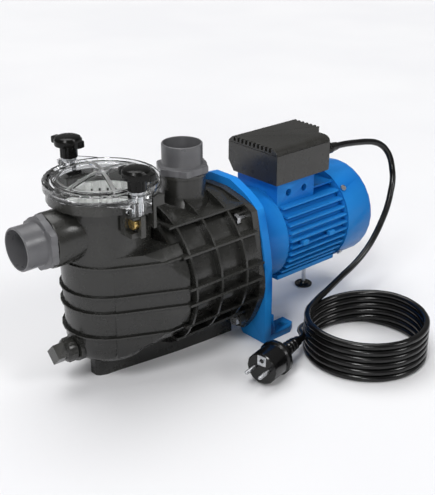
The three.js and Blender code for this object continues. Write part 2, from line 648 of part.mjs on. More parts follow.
const sealHead = () => turnedX(closed([
  [6.4, 20.4], [11, 20.4], [12.5, 23], [12.5, 32.4], [6.4, 32.4],
]), SMALL);
const sealSeat = () => turnedX(closed([[6.6, 33.4], [12.6, 33.4], [12.6, 39.4], [6.6, 39.4]]), SMALL);
const bodyOring = () => turnedX(closed([
  [70.9, FLANGE_BACK_X - 2.6], [74.6, FLANGE_BACK_X - 2.6], [74.6, FLANGE_BACK_X], [70.9, FLANGE_BACK_X],
]), MEDIUM);

// ---- motor bracket and body bolts --------------------------------------------------
const BRACKET_OUTLINE = mirrored([
  ...smooth([[18, 206.5], [40, 197.8], [55, 189.8], [64, 183]], 5),
  ...smooth([[67, 180], [69.5, 174.5], [80, 135], [85, 104], [86, 62]], 7), [86, 0], [46, 0], [40, 8],
]);

function motorBracket() {
  const plate = plateX(BRACKET_OUTLINE, BRACKET_FRONT_X, BRACKET_BACK_X);
  const lantern = turnedX([
    [0, BRACKET_BACK_X - 1], [LANTERN_RADIUS + 3, BRACKET_BACK_X - 1], [LANTERN_RADIUS, BRACKET_BACK_X + 5],
    [LANTERN_RADIUS, LANTERN_END_X], [0, LANTERN_END_X],
  ], LARGE);
  const feet = [-1, 1].map((side) => plateZ([
    [BRACKET_BACK_X - 1, side * 86], [BRACKET_FOOT_END_X - 12, side * 86], [BRACKET_FOOT_END_X, side * 78],
    [BRACKET_FOOT_END_X, side * 60], [BRACKET_BACK_X - 1, side * 60],
  ], 0, 8));
  const webs = [-1, 1].flatMap((side) => [
    block([BRACKET_BACK_X - 1, side * 82 - 3, 7], [BRACKET_BACK_X + 8, side * 82 + 3, 20]),
    block([BRACKET_BACK_X - 1, side * 82 - 3, 7], [BRACKET_BACK_X + 5, side * 82 + 3, 36]),
  ]);
  const hollow = turnedX([
    [0, BRACKET_BACK_X], [LANTERN_RADIUS - 6, BRACKET_BACK_X], [LANTERN_RADIUS - 6, 88], [0, 88],
  ], MEDIUM);
  const shaftWay = turnedX([
    [0, BRACKET_FRONT_X - 1], [12.9, BRACKET_FRONT_X - 1], [12.9, 39.8], [9, 39.8], [9, 89.8],
    [16.3, 89.8], [16.3, LANTERN_END_X + 1], [0, LANTERN_END_X + 1],
  ], SMALL);
  const boltHoles = [];
  const anchorHoles = [];
  for (const side of [-1, 1]) {
    for (const z of [BOLT_TOP_Z, BOLT_BOTTOM_Z]) {
      boltHoles.push(
        rodX(BOLT_RADIUS + GAP, BRACKET_FRONT_X - 1, BRACKET_BACK_X + 1, side * BOLT_Y, z, TINY));
    }
    anchorHoles.push(rodZ(4.5, -1, 9, ANCHOR_HOLE_X, side * ANCHOR_HOLE_Y, TINY));
  }
  return cut(union([plate, lantern, feet, webs]), [hollow, shaftWay, boltHoles, anchorHoles]);
}

/** Hexagon head bolt through the body flange and the bracket. */
function bodyBolt(y, z) {
  return union([
    plateX(polygon(6, 7.4, 30, y, z), BOLT_HEAD_X, BOLT_HEAD_X + 5.3),
    rodX(BOLT_RADIUS, BOLT_HEAD_X + 1, BRACKET_BACK_X + 9, y, z, TINY),
  ]);
}

function bodyNut(y, z) {
  return cut(plateX(polygon(6, 7.4, 30, y, z), BRACKET_BACK_X + GAP, BRACKET_BACK_X + 6.6), [
    rodX(BOLT_RADIUS + GAP, BRACKET_BACK_X, BRACKET_BACK_X + 7, y, z, TINY),
  ]);
}

// ---- motor -------------------------------------------------------------------------
function motorHousing() {
  const core = rodX(MOTOR_CORE_RADIUS, MOTOR_FRONT_X, MOTOR_END_X, 0, SHAFT_Z, LARGE);
  const fins = [];
  for (let level = -4.5; level <= 5.5; level += 1) {
    const height = level * FIN_PITCH;
    const halfWidth = Math.sqrt(FIN_TIP_RADIUS ** 2 - height ** 2);
    fins.push(block(
      [MOTOR_FRONT_X + 3, -halfWidth, SHAFT_Z + height - FIN_THICKNESS / 2],
      [MOTOR_END_X, halfWidth, SHAFT_Z + height + FIN_THICKNESS / 2]));
  }
  const rails = block([MOTOR_FRONT_X, -42.5, 54], [MOTOR_END_X, 42.5, 59.5]);
  const pedestal = block(
    [MOTOR_FRONT_X, -PEDESTAL_HALF_WIDTH, 140], [PEDESTAL_END_X, PEDESTAL_HALF_WIDTH, PEDESTAL_TOP]);
  const tabs = [125, 175].map((x) => block([x - 5, -67.5, 106], [x + 5, -60, 112]));
  const footBoss = rodZ(9, 47, 60, REAR_FOOT_X, 0, TINY);
  const bore = rodX(MOTOR_BORE, MOTOR_FRONT_X - 1, MOTOR_END_X + 1, 0, SHAFT_Z, MEDIUM);
  const sideHoles = [119, 148].map((x) => rodY(5, -45, 45, x, 172.5, TINY));
  const wireWay = rodZ(9, 150, PEDESTAL_TOP + 1, 133, 0, TINY);
  const footHole = rodZ(FOOT_STUD_RADIUS + GAP, 46, 53.6, REAR_FOOT_X, 0, TINY);
  return cut(union([core, fins, rails, pedestal, tabs, footBoss]), [bore, sideHoles, wireWay, footHole]);
}

function statorCore() {
  const [front, back] = STATOR_X;
  const outer = MOTOR_BORE - GAP;
  const ring = turnedX(closed([[33.4, front], [outer, front], [outer, back], [33.4, back]]), MEDIUM);
  const slots = [];
  for (let i = 0; i < 12; i += 1) {
    slots.push(spunX(block([front - 1, -3.2, SHAFT_Z + 30], [back + 1, 3.2, SHAFT_Z + 45]), i * 30));
  }
  return cut(ring, slots);
}

function statorWinding() {
  const [front, back] = STATOR_X;
  const headRing = (from, to) => turnedX(closed([[36, from], [48, from], [48, to], [36, to]]), MEDIUM);
  const bars = [];
  for (let i = 0; i < 12; i += 1) {
    bars.push(spunX(block([front - 2, -2.9, SHAFT_Z + 36.2], [back + 2, 2.9, SHAFT_Z + 44.7]), i * 30));
  }
  return union([headRing(front - 14, front - GAP), headRing(back + GAP, back + 14), bars]);
}

const rotorCore = () => turnedX(closed([
  [SHAFT_RADIUS + 4 + GAP, 118], [32.8, 118], [32.8, 186], [SHAFT_RADIUS + 4 + GAP, 186],
]), MEDIUM);

const rotorShaft = () => turnedX([
  [0, -11.5], [SHAFT_RADIUS - 1, -11.5], [SHAFT_RADIUS - 1, 42], [SHAFT_RADIUS, 44], [SHAFT_RADIUS, 100],
  [SHAFT_RADIUS + 4, 103], [SHAFT_RADIUS + 4, 192], [SHAFT_RADIUS, 194], [SHAFT_RADIUS, 240], [0, 240],
], SMALL);

/** Ball bearing simplified to one closed ring. */
const bearing = (front, back) => turnedX(closed([
  [SHAFT_RADIUS + GAP, front], [16, front], [16, back], [SHAFT_RADIUS + GAP, back],
]), SMALL);

function rearEndShield() {
  const disc = turnedX([
    [0, 208.1], [65.1, 208.1], [65.1, 218], [62, 220], [58, 212], [22, 212], [20, 220], [0, 220],
  ], LARGE);
  const seat = turnedX([
    [0, 207], [16.3, 207], [16.3, 217.5], [SHAFT_RADIUS + 1, 217.5], [SHAFT_RADIUS + 1, 221], [0, 221],
  ], SMALL);
  const screwHoles = COVER_SCREW_ANGLES.map((angle) => coverScrewSpace(angle, 2.1 + GAP, 55, 66));
  return cut(disc, [seat, screwHoles]);
}

/** Radial rod about the shaft axis, used for the fan cover screws. */
function coverScrewSpace(angle, radius, from, to) {
  const rod = rodZ(radius, SHAFT_Z + from, SHAFT_Z + to, COVER_SCREW_X, 0, TINY);
  return spunX(rod, angle);
}

function coolingFan() {
  const hub = turnedX([[0, 223], [14, 223], [14, 238], [0, 238]], SMALL);
  const disc = turnedX([[0, 223], [46, 223], [46, 225.4], [0, 225.4]], MEDIUM);
  const blades = [];
  for (let i = 0; i < 8; i += 1) {
    blades.push(spunX(block([224, -1.1, SHAFT_Z + 12], [242, 1.1, SHAFT_Z + 56]), i * 45));
  }
  const bore = rodX(SHAFT_RADIUS + GAP, 222, 240.5, 0, SHAFT_Z, SMALL);
  const cap = rodX(14, 237, 241.5, 0, SHAFT_Z, SMALL);
  return cut(union([hub, cap, disc, blades]), [bore]);
}

function fanCover() {
  const outside = turnedX([
    [0, COVER_FRONT_X], [COVER_RADIUS, COVER_FRONT_X], [COVER_RADIUS, COVER_END_X - 8],
    [COVER_RADIUS - 2.5, COVER_END_X - 2.5], [COVER_RADIUS - 8, COVER_END_X], [0, COVER_END_X],
  ], LARGE);
  const inside = turnedX([
    [0, COVER_FRONT_X - 1], [COVER_RADIUS - COVER_WALL, COVER_FRONT_X - 1],
    [COVER_RADIUS - COVER_WALL, COVER_END_X - 8.5], [COVER_RADIUS - 9, COVER_END_X - COVER_WALL],
    [0, COVER_END_X - COVER_WALL],
  ], LARGE);
  const slots = [];
  for (let i = 0; i < COVER_SLOTS; i += 1) {
    const slot = block([COVER_END_X - 4, -4.5, SHAFT_Z + 24], [COVER_END_X + 1, 4.5, SHAFT_Z + 52]);
    slots.push(spunX(slot, (i * 360) / COVER_SLOTS));
  }
  const screwHoles = COVER_SCREW_ANGLES.map((angle) => coverScrewSpace(angle, 2.1 + GAP, 60, 70));
  return cut(outside, [inside, slots, screwHoles]);
}

function coverScrew(angle) {
  const head = rodZ(4.2, SHAFT_Z + COVER_RADIUS + GAP, SHAFT_Z + COVER_RADIUS + 2.6, COVER_SCREW_X, 0, TINY);
  const shank = rodZ(2.1, SHAFT_Z + 57, SHAFT_Z + COVER_RADIUS + 1, COVER_SCREW_X, 0, TINY);
  return spunX(union([head, shank]), angle);
}

// ---- terminal box ------------------------------------------------------------------
const BOX_PLAN = [
  [BOX_LEFT_X, BOX_NEAR_Y], [BOX_RIGHT_X, BOX_NEAR_Y], [BOX_RIGHT_X, -24], [BOX_STEP_X, -6],
  [BOX_STEP_X, BOX_FAR_Y], [BOX_LEFT_X, BOX_FAR_Y],
];

/** Plan outline of the box moved inward by the wall thickness. */
const boxPlanInset = (inset) => [
  [BOX_LEFT_X + inset, BOX_NEAR_Y + inset], [BOX_RIGHT_X - inset, BOX_NEAR_Y + inset],
  [BOX_RIGHT_X - inset, -24 + inset * 0.4], [BOX_STEP_X - inset, -6 + inset * 0.4],
  [BOX_STEP_X - inset, BOX_FAR_Y - inset], [BOX_LEFT_X + inset, BOX_FAR_Y - inset],
];

/** Side profile of the box seen along X, with the far lower corner cut away. */
const boxProfile = (inset) => [
  [BOX_NEAR_Y + inset, BOX_BOTTOM + inset], [BOX_FAR_Y - 10 - inset * 0.4, BOX_BOTTOM + inset],
  [BOX_FAR_Y - inset, BOX_BOTTOM + 14 + inset * 0.4], [BOX_FAR_Y - inset, BOX_SEAM + inset],
  [BOX_NEAR_Y + inset, BOX_SEAM + inset],
];

function terminalBoxBase() {
  const outside = plateZ(BOX_PLAN, BOX_BOTTOM, BOX_SEAM).intersect(
    plateX(boxProfile(0), BOX_LEFT_X - 1, BOX_STEP_X + 1));
  const inside = plateZ(boxPlanInset(BOX_WALL), BOX_BOTTOM + BOX_WALL, BOX_SEAM + 1).intersect(
    plateX(boxProfile(BOX_WALL), BOX_LEFT_X, BOX_STEP_X));
  const glandHole = rodX(
    CORD_RADIUS + GAP, BOX_RIGHT_X - BOX_WALL - 1, BOX_RIGHT_X + 1, GLAND_Y, GLAND_Z, TINY);
  const wireHole = rodZ(9, BOX_BOTTOM - 1, BOX_BOTTOM + BOX_WALL + 1, 133, 0, TINY);
  return cut(outside, [inside, glandHole, wireHole]);
}

function terminalBoxLid() {
  const seam = BOX_SEAM + GAP;
  const section = [
    [BOX_NEAR_Y, seam], [-44.2, 232.2], [-42, 234.6], [-39, 236.3], [-35, BOX_TOP], [39, BOX_TOP],
    [BOX_FAR_Y, 231], [BOX_FAR_Y, seam],
  ];
  const outside = plateZ(BOX_PLAN, seam, BOX_TOP).intersect(plateX(section, BOX_LEFT_X - 1, BOX_STEP_X + 1));
  const inside = plateZ(boxPlanInset(BOX_WALL + 3), seam - 1, BOX_TOP - BOX_WALL);
  const slots = [];
  for (let i = 0; i < 10; i += 1) {
    const y = 34 - i * 7.3;
    slots.push(block([BOX_LEFT_X - 1, y - 1.9, 231.5], [BOX_LEFT_X + 3.4, y + 1.9, BOX_TOP + 1]));
    if (y > -4) slots.push(block([BOX_STEP_X - 3.4, y - 1.9, 231.5], [BOX_STEP_X + 1, y + 1.9, BOX_TOP + 1]));
  }
  return cut(outside, [inside, slots]);
}

const capacitor = () => turnedX([
  [0, 100], [15, 100], [15, 164], [13, 166], [0, 166],
], SMALL, 22, BOX_BOTTOM + BOX_WALL + 17);

function terminalBlock() {
  const base = block([108, -34, BOX_BOTTOM + BOX_WALL + GAP], [158, -14, BOX_BOTTOM + BOX_WALL + 14]);
  const wells = [];
  for (let i = 0; i < 5; i += 1) {
    wells.push(rodZ(3, BOX_BOTTOM + BOX_WALL + 6, BOX_BOTTOM + BOX_WALL + 15, 113 + i * 10, -24, TINY));
  }
  return cut(base, wells);
}

/** Gland nut running out into the tapered sleeve that protects the cord. */
function cableGland() {
  const start = BOX_RIGHT_X + GAP;
  const outline = turnedX([
    [0, start], [7.6, start], [7.6, start + 3.5], [6.6, start + 4.3], [7.3, start + 5], [7.3, start + 9],
    [6.5, start + 11], [5.3, GLAND_OUTER_X], [0, GLAND_OUTER_X],
  ], SMALL, GLAND_Y, GLAND_Z);
  return cut(outline, [rodX(CORD_RADIUS + GAP, start - 1, GLAND_OUTER_X + 1, GLAND_Y, GLAND_Z, TINY)]);
}

// ---- rear foot ---------------------------------------------------------------------
/** Flat rubber dish with a raised rim. */
function rearFoot() {
  const pad = turnedZ([
    [0, 0], [11.5, 0], [12.5, 1], [12.5, 3], [11.2, 4], [8.5, 3.2], [6.5, 4.5], [5.5, REAR_FOOT_HEIGHT],
    [0, REAR_FOOT_HEIGHT],
  ], MEDIUM, REAR_FOOT_X);
  return cut(pad, [rodZ(FOOT_STUD_RADIUS + GAP, 2.5, REAR_FOOT_HEIGHT + 1, REAR_FOOT_X, 0, TINY)]);
}

function rearFootBolt() {
  return union([
    rodZ(FOOT_STUD_RADIUS, 2.5 + GAP, 53, REAR_FOOT_X, 0, TINY),
    plateZ(polygon(6, 6.4, 0, REAR_FOOT_X, 0), 41, 46.5),
  ]);
}

// ---- mains cord and plug -----------------------------------------------------------
function cordTube() {
  const points = CORD_ROUTE.map((point) => new THREE.Vector3(...point));
  const path = new THREE.CatmullRomCurve3(points, false, 'centripetal');
  const shape = new THREE.Shape(polygon(8, CORD_RADIUS).map(([x, y]) => new THREE.Vector2(x, y)));
  return solid(new THREE.ExtrudeGeometry(shape, { steps: 32, extrudePath: path, bevelEnabled: false }));
}

function cordCoil() {
  const height = (COIL_TURNS - 1) * COIL_PITCH + 2 * CORD_RADIUS;
  const inner = COIL_RADIUS - CORD_RADIUS;
  const outer = COIL_RADIUS + CORD_RADIUS;
  const round = CORD_RADIUS * 0.6;
  return turnedZ(closed([
    [inner, round], [inner + round, 0], [outer - round, 0], [outer, round], [outer, height - round],
    [outer - round, height], [inner + round, height], [inner, height - round],
  ]), LARGE, COIL_X, COIL_Y);
}

/** Place a solid built along +X at the plug: x = 0 is the pin face, +x runs to the neck. */
const atPlug = (body) => body.rotate([0, 0, PLUG_ANGLE - 180]).translate([PLUG_FACE_X, PLUG_FACE_Y, 0]);

function plugBody() {
  const neckRings = [[50, 9.5], [57, 9], [64, 8.5], [71, 8]];
  const barrel = turnedX([
    [0, 0], [19, 0], [20.2, 1.2], [20.2, 28], [22.5, 30], [22.5, 35], [17, 38], [12, 46],
    ...neckRings.flatMap(([start, radius]) => [
      [radius, start], [radius, start + 3], [radius - 1.4, start + 4], [radius - 1.4, start + 6],
    ]),
    [6.2, PLUG_NECK_LENGTH], [0, PLUG_NECK_LENGTH],
  ], SMALL, 0, PLUG_AXIS_Z);
  const sideGrips = [-1, 1].map((side) => block(
    [4, side * 17.5 - 3, PLUG_AXIS_Z - 9], [27, side * 17.5 + 3, PLUG_AXIS_Z + 9])
    .translate([0, side * 4.6, 0]));
  const pinHoles = [-1, 1].map((side) => rodX(2.4 + GAP, -1, 10, side * PIN_SPACING / 2, PLUG_AXIS_Z, TINY));
  const earthHole = block([-1, -6.3, PLUG_AXIS_Z + 3.7], [3.4, 6.3, PLUG_AXIS_Z + 17.3]);
  return atPlug(cut(barrel, [sideGrips, pinHoles, earthHole]));
}

function plugPin(side) {
  return atPlug(turnedX([
    [0, -19], [1.4, -19], [2.4, -17.4], [2.4, 9.6], [0, 9.6],
  ], TINY, side * PIN_SPACING / 2, PLUG_AXIS_Z));
}

function plugEarth() {
  const plate = block([0.4, -6, PLUG_AXIS_Z + 4], [3.1, 6, PLUG_AXIS_Z + 17]);
  return atPlug(cut(plate, [rodX(3, -1, 4, 0, PLUG_AXIS_Z + 10.5, SMALL)]));
}

// ---- assemble ----------------------------------------------------------------------
add('pump_body', pumpBody(), 'blackPlastic');
add('strainer_lid', strainerLid(), 'clearPlastic');
add('lid_oring', lidOring(), 'rubber');
add('strainer_basket', strainerBasket(), 'basketPlastic');
add('basket_handle', basketHandle(), 'basketPlastic');
const handScrewPieces = [
  ['hand_knob', handKnob, 'glossBlack'],
  ['hand_stud', handStud, 'steel'],
  ['hand_washer', handWasher, 'steel'],
  ['brass_nut', brassNut, 'brass'],
];
for (const [name, build, finish] of handScrewPieces) {
  add(`${name}_near`, build(), finish);
  add(`${name}_far`, acrossPot(build()), finish);
}
add('suction_adapter', suctionAdapter(), 'greyPlastic');
add('suction_gasket', suctionGasket(), 'rubber');
add('discharge_adapter', dischargeAdapter(), 'greyPlastic');
add('discharge_gasket', dischargeGasket(), 'rubber');
add('drain_plug', drainPlug(), 'blackPlastic');
add('drain_oring', drainOring(), 'rubber');
add('diffuser', diffuser(), 'blackPlastic');
add('impeller', impeller(), 'blackPlastic');
add('seal_head', sealHead(), 'steel');
add('seal_seat', sealSeat(), 'ceramic');
add('body_oring', bodyOring(), 'rubber');
add('motor_bracket', motorBracket(), 'bluePaint');
for (const [end, z] of [['top', BOLT_TOP_Z], ['bottom', BOLT_BOTTOM_Z]]) {
  for (const [side, y] of [['near', -BOLT_Y], ['far', BOLT_Y]]) {
    add(`body_bolt_${end}_${side}`, bodyBolt(y, z), 'steel');
    add(`body_nut_${end}_${side}`, bodyNut(y, z), 'steel');
  }
}
add('motor_housing', motorHousing(), 'bluePaint');
add('stator_core', statorCore(), 'castIron');
add('stator_winding', statorWinding(), 'copper');
add('rotor_core', rotorCore(), 'castIron');
add('rotor_shaft', rotorShaft(), 'steel');
add('bearing_front', bearing(90.1, 98.1), 'steel');
add('bearing_rear', bearing(208.4, 217.2), 'steel');
add('rear_end_shield', rearEndShield(), 'bluePaint');
add('cooling_fan', coolingFan(), 'blackPlastic');
add('fan_cover', fanCover(), 'bluePaint');
COVER_SCREW_ANGLES.forEach((angle, index) => {
  add(`fan_cover_screw_${index + 1}`, coverScrew(angle), 'steel');
});
add('terminal_box_base', terminalBoxBase(), 'boxPlastic');
add('terminal_box_lid', terminalBoxLid(), 'boxPlastic');
add('capacitor', capacitor(), 'greyPlastic');
add('terminal_block', terminalBlock(), 'basketPlastic');
add('cable_gland', cableGland(), 'glossBlack');
add('rear_foot', rearFoot(), 'rubber');
add('rear_foot_bolt', rearFootBolt(), 'steel');
add('power_cord_tube', cordTube(), 'rubber');
add('power_cord_coil', cordCoil(), 'rubber');
add('plug_body', plugBody(), 'rubber');
add('plug_pin_line', plugPin(-1), 'steel');
add('plug_pin_neutral', plugPin(1), 'steel');
add('plug_earth_contact', plugEarth(), 'steel');

export default assembly;
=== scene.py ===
"""Looks of a self-priming pool pump: clear-lidded strainer, ribbed black body, blue motor, coiled cord.

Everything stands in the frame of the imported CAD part: +X from the suction port to the fan cover, +Z up,
the cord on the -Y side. Dimensions are in millimetres unless a comment says otherwise. CAD pieces keep
their shape and get procedural materials. The cord, the lid, the basket, the hand knobs and the port
adapters are built here in more detail and replace their plain CAD solids.
"""
import json
import math

import bmesh
import bpy
from mathutils import Matrix, Vector


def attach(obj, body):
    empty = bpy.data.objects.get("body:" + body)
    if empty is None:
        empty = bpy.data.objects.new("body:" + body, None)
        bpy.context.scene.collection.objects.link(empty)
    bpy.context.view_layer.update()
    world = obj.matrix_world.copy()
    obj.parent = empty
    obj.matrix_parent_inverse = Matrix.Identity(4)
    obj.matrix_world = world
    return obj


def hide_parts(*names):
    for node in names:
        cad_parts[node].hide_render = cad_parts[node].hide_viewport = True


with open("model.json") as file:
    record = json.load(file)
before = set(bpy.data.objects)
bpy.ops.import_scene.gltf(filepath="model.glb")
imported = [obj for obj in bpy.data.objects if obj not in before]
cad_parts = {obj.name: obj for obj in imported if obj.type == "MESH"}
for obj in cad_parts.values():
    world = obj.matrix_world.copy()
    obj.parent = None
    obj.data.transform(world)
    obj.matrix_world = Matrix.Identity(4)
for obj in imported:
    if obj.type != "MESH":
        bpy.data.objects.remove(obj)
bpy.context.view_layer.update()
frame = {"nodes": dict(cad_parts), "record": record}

MM = 0.001
NODES = frame["nodes"]

# ---- driving dimensions of the strainer, in millimetres -------------------------------
STRAINER_X = -145
STRAINER_AXIS = (STRAINER_X, 0)
COLLAR_RADIUS = 64.4                # top of the pot, inside the lid

LID_BOTTOM = 236.4
LID_TOP = 248.2
LID_RADIUS = 67.1
LID_WINDOW_RADIUS = 54
LID_WINDOW_EDGE = 245.4             # height of the domed window at its edge
LID_CROWN = 253                     # height of the domed window at its middle
LID_WINDOW_THICKNESS = 2.6
LID_GROOVE_RADIUS = 59.5            # groove round the top of the rim
LID_RING_RADIUS = 49                # raised ring on the window
LID_RIB_ANGLES = (12, 70, 192, 250)
LID_RIB_HEIGHT = 3
LID_RIB_HALF_WIDTH = 1.9
LID_BEADS = 36                      # small beads round the rim
BELOW_LID = 220                     # cuts through the lid run between these two heights
ABOVE_LID = 260
EAR_REACH = 83                      # from the strainer's axis to the outer face of an ear
EAR_ROOT = 60                       # from the strainer's axis to where an ear leaves the rim
EAR_LEFT = 12                       # from the hand screw to the sides of its ear
EAR_RIGHT = 10
EAR_BOTTOM = 227

BASKET_BOTTOM = 42.2
BASKET_FLOOR = 44.5
BASKET_RIM_TOP = 225.8
BASKET_RIM_RADIUS = 47.8
BASKET_INNER_RADII = (42.3, 44.2)   # at the floor and at the rim
BASKET_GROOVE_DEPTH = 1.3
BASKET_SLOTS = 30                   # in each row
BASKET_SLOT_WIDTH = 2.6
BASKET_SLOT_ROWS = ((56, 128), (138, 217))

KNOB_NEAR = (-148.6, -71.2)
KNOB_FAR = (-141.4, 71.2)
KNOB_BOTTOM = 252
KNOB_CAP_Z = 266
KNOB_TOP = 278.5
KNOB_CAP_RADIUS = 16.6
KNOB_STEM_RADIUS = 10.4
KNOB_FLUTES = 8
KNOB_FLUTE_DEPTH = 1.1
KNOB_WING_REACH = 6.4
STUD_RADIUS = 4.3                   # with its clearance

# ---- driving dimensions of the port adapters ------------------------------------------
DISCHARGE_X = -28
DISCHARGE_FACE_Z = 227.5
DISCHARGE_TOP_Z = 263
SUCTION_FACE_X = -224.5
SUCTION_MOUTH_X = -260
SUCTION_Z = 191
PIPE_RADIUS = 25
PIPE_BORE_RADIUS = 22.4
ADAPTER_COLLAR_RADIUS = 30
NUT_CORNER_RADIUS = 33.5
NUT_HEIGHT = 8
SPIGOT_LENGTH = 20
SPIGOT_RADIUS = 22
SPIGOT_BORE_RADIUS = 19
THREAD_DEPTH = 1.2

# ---- driving dimensions of the mains cord ---------------------------------------------
CORD_DIAMETER = 8.6
COIL_CENTRE = (116.7, -181.7)
COIL_RADIUS = 73.6
COIL_TURNS = 6
COIL_PITCH = 8.7
COIL_START = 104.5                  # angle at which the cord joins the coil, degrees
STEPS_PER_TURN = 18
PLUG_FACE = (-38.5, -154, 22.7)
PLUG_ANGLE = 192.8                  # direction the pins point, degrees
PLUG_NECK_LENGTH = 83

# Route of the cord from the gland to the top of the coil.
CORD_ROUTE = [
    (190, -37.5, 216.5), (206, -37.5, 216.5), (222, -38, 216), (238, -39, 214.6), (254, -40, 212.6),
    (268, -41.5, 210.6), (281, -43.5, 207.5), (292, -46.5, 202), (300, -50, 193.5), (304.5, -54, 182.5),
    (304.5, -59, 168), (300, -65, 154), (290, -71, 139.5), (276.5, -77, 122), (260, -81.5, 105),
    (242, -85, 88.5), (222, -87.5, 74.5), (198, -90, 63.5), (170, -93.5, 56.3), (134.5, -101.7, 51.5),
]

# ---- camera and light -----------------------------------------------------------------
CAMERA_PLACE = (-706.7, -831.5, 607.0)
CAMERA_AZIMUTH = -41.5              # degrees, as are all azimuths and elevations
CAMERA_ELEVATION = 24.2
CAMERA_LENS = 68.2

SOFTBOXES = {                       # azimuth, elevation, apparent width in degrees, strength
    "key": (-66, 50, 16, 1.2),
    "front_fill": (25, 38, 18, 0.8),
    "overhead": (170, 72, 50, 1.75),
    "camera_side": (-46, 17, 10, 0.4),
}
WORLD_STRENGTH = 0.2
STRAINER_LIGHT_Z = 236
STRAINER_LIGHT_RADIUS = 0.012       # metres
STRAINER_LIGHT_POWER = 0.022        # watts
FLOOR_HALF = 12                     # metres


# ---- small helpers --------------------------------------------------------------------
def metres(point):
    """A point given in millimetres, as a vector in metres."""
    return Vector(point) * MM


def smooth_step(t):
    """0 below 0, 1 above 1, with an even ease between."""
    t = min(max(t, 0.0), 1.0)
    return t * t * (3 - 2 * t)


def direction(azimuth, elevation):
    """Unit vector from the object towards a camera or light; azimuth 0 is the -Y side."""
    turn = math.radians(azimuth)
    tilt = math.radians(elevation)
    return Vector((math.sin(turn) * math.cos(tilt), -math.cos(turn) * math.cos(tilt), math.sin(tilt)))


def link(name, data):
    """A new object in the scene with the given data."""
    made = bpy.data.objects.new(name, data)
    bpy.context.scene.collection.objects.link(made)
    return made


def aim(thing, towards_viewer):
    """Point a camera or lamp at the object, given the direction that it stands in."""
    thing.rotation_mode = "QUATERNION"
    thing.rotation_quaternion = (-towards_viewer).to_track_quat("-Z", "Y")


def make_camera():
    camera = link("camera", bpy.data.cameras.new("camera"))
    camera.location = metres(CAMERA_PLACE)
    aim(camera, direction(CAMERA_AZIMUTH, CAMERA_ELEVATION))
    camera.data.sensor_width = 36
    camera.data.lens = CAMERA_LENS
    camera.data.clip_start = 0.01
    camera.data.clip_end = 50
    bpy.context.scene.camera = camera


make_camera()


# ---- materials ------------------------------------------------------------------------
class Painter:
    """Builds one procedural material around its Principled shader."""

    def __init__(self, name):
        self.material = bpy.data.materials.new(name)
        self.material.use_nodes = True
        self.tree = self.material.node_tree
        self.shader = self.tree.nodes["Principled BSDF"]
        self.place = self.tree.nodes.new("ShaderNodeTexCoord").outputs["Object"]

    def feed(self, socket, value):
        """Link a node's output to a socket, or set the socket's own value."""
        if isinstance(value, bpy.types.NodeSocket):
            self.tree.links.new(value, socket)
        else:
            socket.default_value = value

    def node(self, kind, **inputs):
        made = self.tree.nodes.new(kind)
        for name, value in inputs.items():
            self.feed(made.inputs[name.replace("_", " ")], value)
        return made

    def set(self, **inputs):
        for name, value in inputs.items():
            self.feed(self.shader.inputs[name.replace("_", " ")], value)

    def noise(self, scale, detail=4):
        """Fine irregular pattern; scale is in cells per metre."""
        made = self.node(
            "ShaderNodeTexNoise", Vector=self.place, Scale=scale, Detail=detail, Roughness=0.6)
        return made.outputs[0]

    def spread(self, value, low, high, start=0.35, end=0.65):
        """Stretch a pattern that varies between start and end to run from low to high."""
        made = self.node(
            "ShaderNodeMapRange", Value=value, From_Min=start, From_Max=end, To_Min=low, To_Max=high)
        return made.outputs[0]

    def arithmetic(self, operation, first, second=0.0):
        made = self.tree.nodes.new("ShaderNodeMath")
        made.operation = operation
        self.feed(made.inputs[0], first)
        self.feed(made.inputs[1], second)
        return made.outputs[0]

    def blend(self, factor, first, second, kind="MIX"):
        """Mix two colours, each a node's output or three numbers."""
        made = self.tree.nodes.new("ShaderNodeMix")
        made.data_type = "RGBA"
        made.blend_type = kind
        self.feed(made.inputs[0], factor)
        # The node's colour sockets come after its number and vector ones.
        for socket, colour in ((made.inputs[6], first), (made.inputs[7], second)):
            self.feed(socket, colour if isinstance(colour, bpy.types.NodeSocket) else (*colour, 1))
        return made.outputs[2]

    def relief(self, pattern, height, edge=0.0):
        """Bump from a pattern, on edges rounded by a radius; height and radius in metres."""
        bump = self.node("ShaderNodeBump", Height=pattern, Strength=0.6, Distance=height)
        if edge:
            rounded = self.node("ShaderNodeBevel", Radius=edge)
            rounded.samples = 4
            self.feed(bump.inputs["Normal"], rounded.outputs[0])
        self.feed(self.shader.inputs["Normal"], bump.outputs[0])

    def painted_shade_below(self, base, height, share):
        """Painted shade: deepen a colour from a height in metres down to a share of itself at the floor."""
        height_here = self.node("ShaderNodeSeparateXYZ", Vector=self.place).outputs["Z"]
        shade_share = self.spread(height_here, 1, 0, 0.01, height)
        return self.blend(shade_share, base, (share, share, share), "MULTIPLY")

    def paler_edges(self, base, pale, amount):
        """Lighten the most convex edges towards a paler colour."""
        pointy = self.tree.nodes.new("ShaderNodeNewGeometry").outputs["Pointiness"]
        edge_share = self.spread(pointy, 0, amount, 0.52, 0.62)
        return self.blend(edge_share, base, pale)


def moulded(name, dark, light, roughness, shine=0.5):
    """Injection-moulded plastic: faint flow marks, fine grain, softened edges and painted shade towards the
    floor.
    """
    paint = Painter(name)
    tone = paint.blend(paint.spread(paint.noise(14, 3), 0, 1), dark, light)
    pale = [min(1, 2.2 * channel) for channel in light]
    paint.set(
        # Painted shade: the colour darkens towards the floor.
        Base_Color=paint.paler_edges(paint.painted_shade_below(tone, 0.17, 0.3), pale, 0.5),
        Roughness=paint.spread(paint.noise(70), roughness - 0.07, roughness + 0.07),
        Specular_IOR_Level=shine)
    paint.relief(paint.noise(700, 2), 0.015 * MM, 0.7 * MM)
    return paint.material


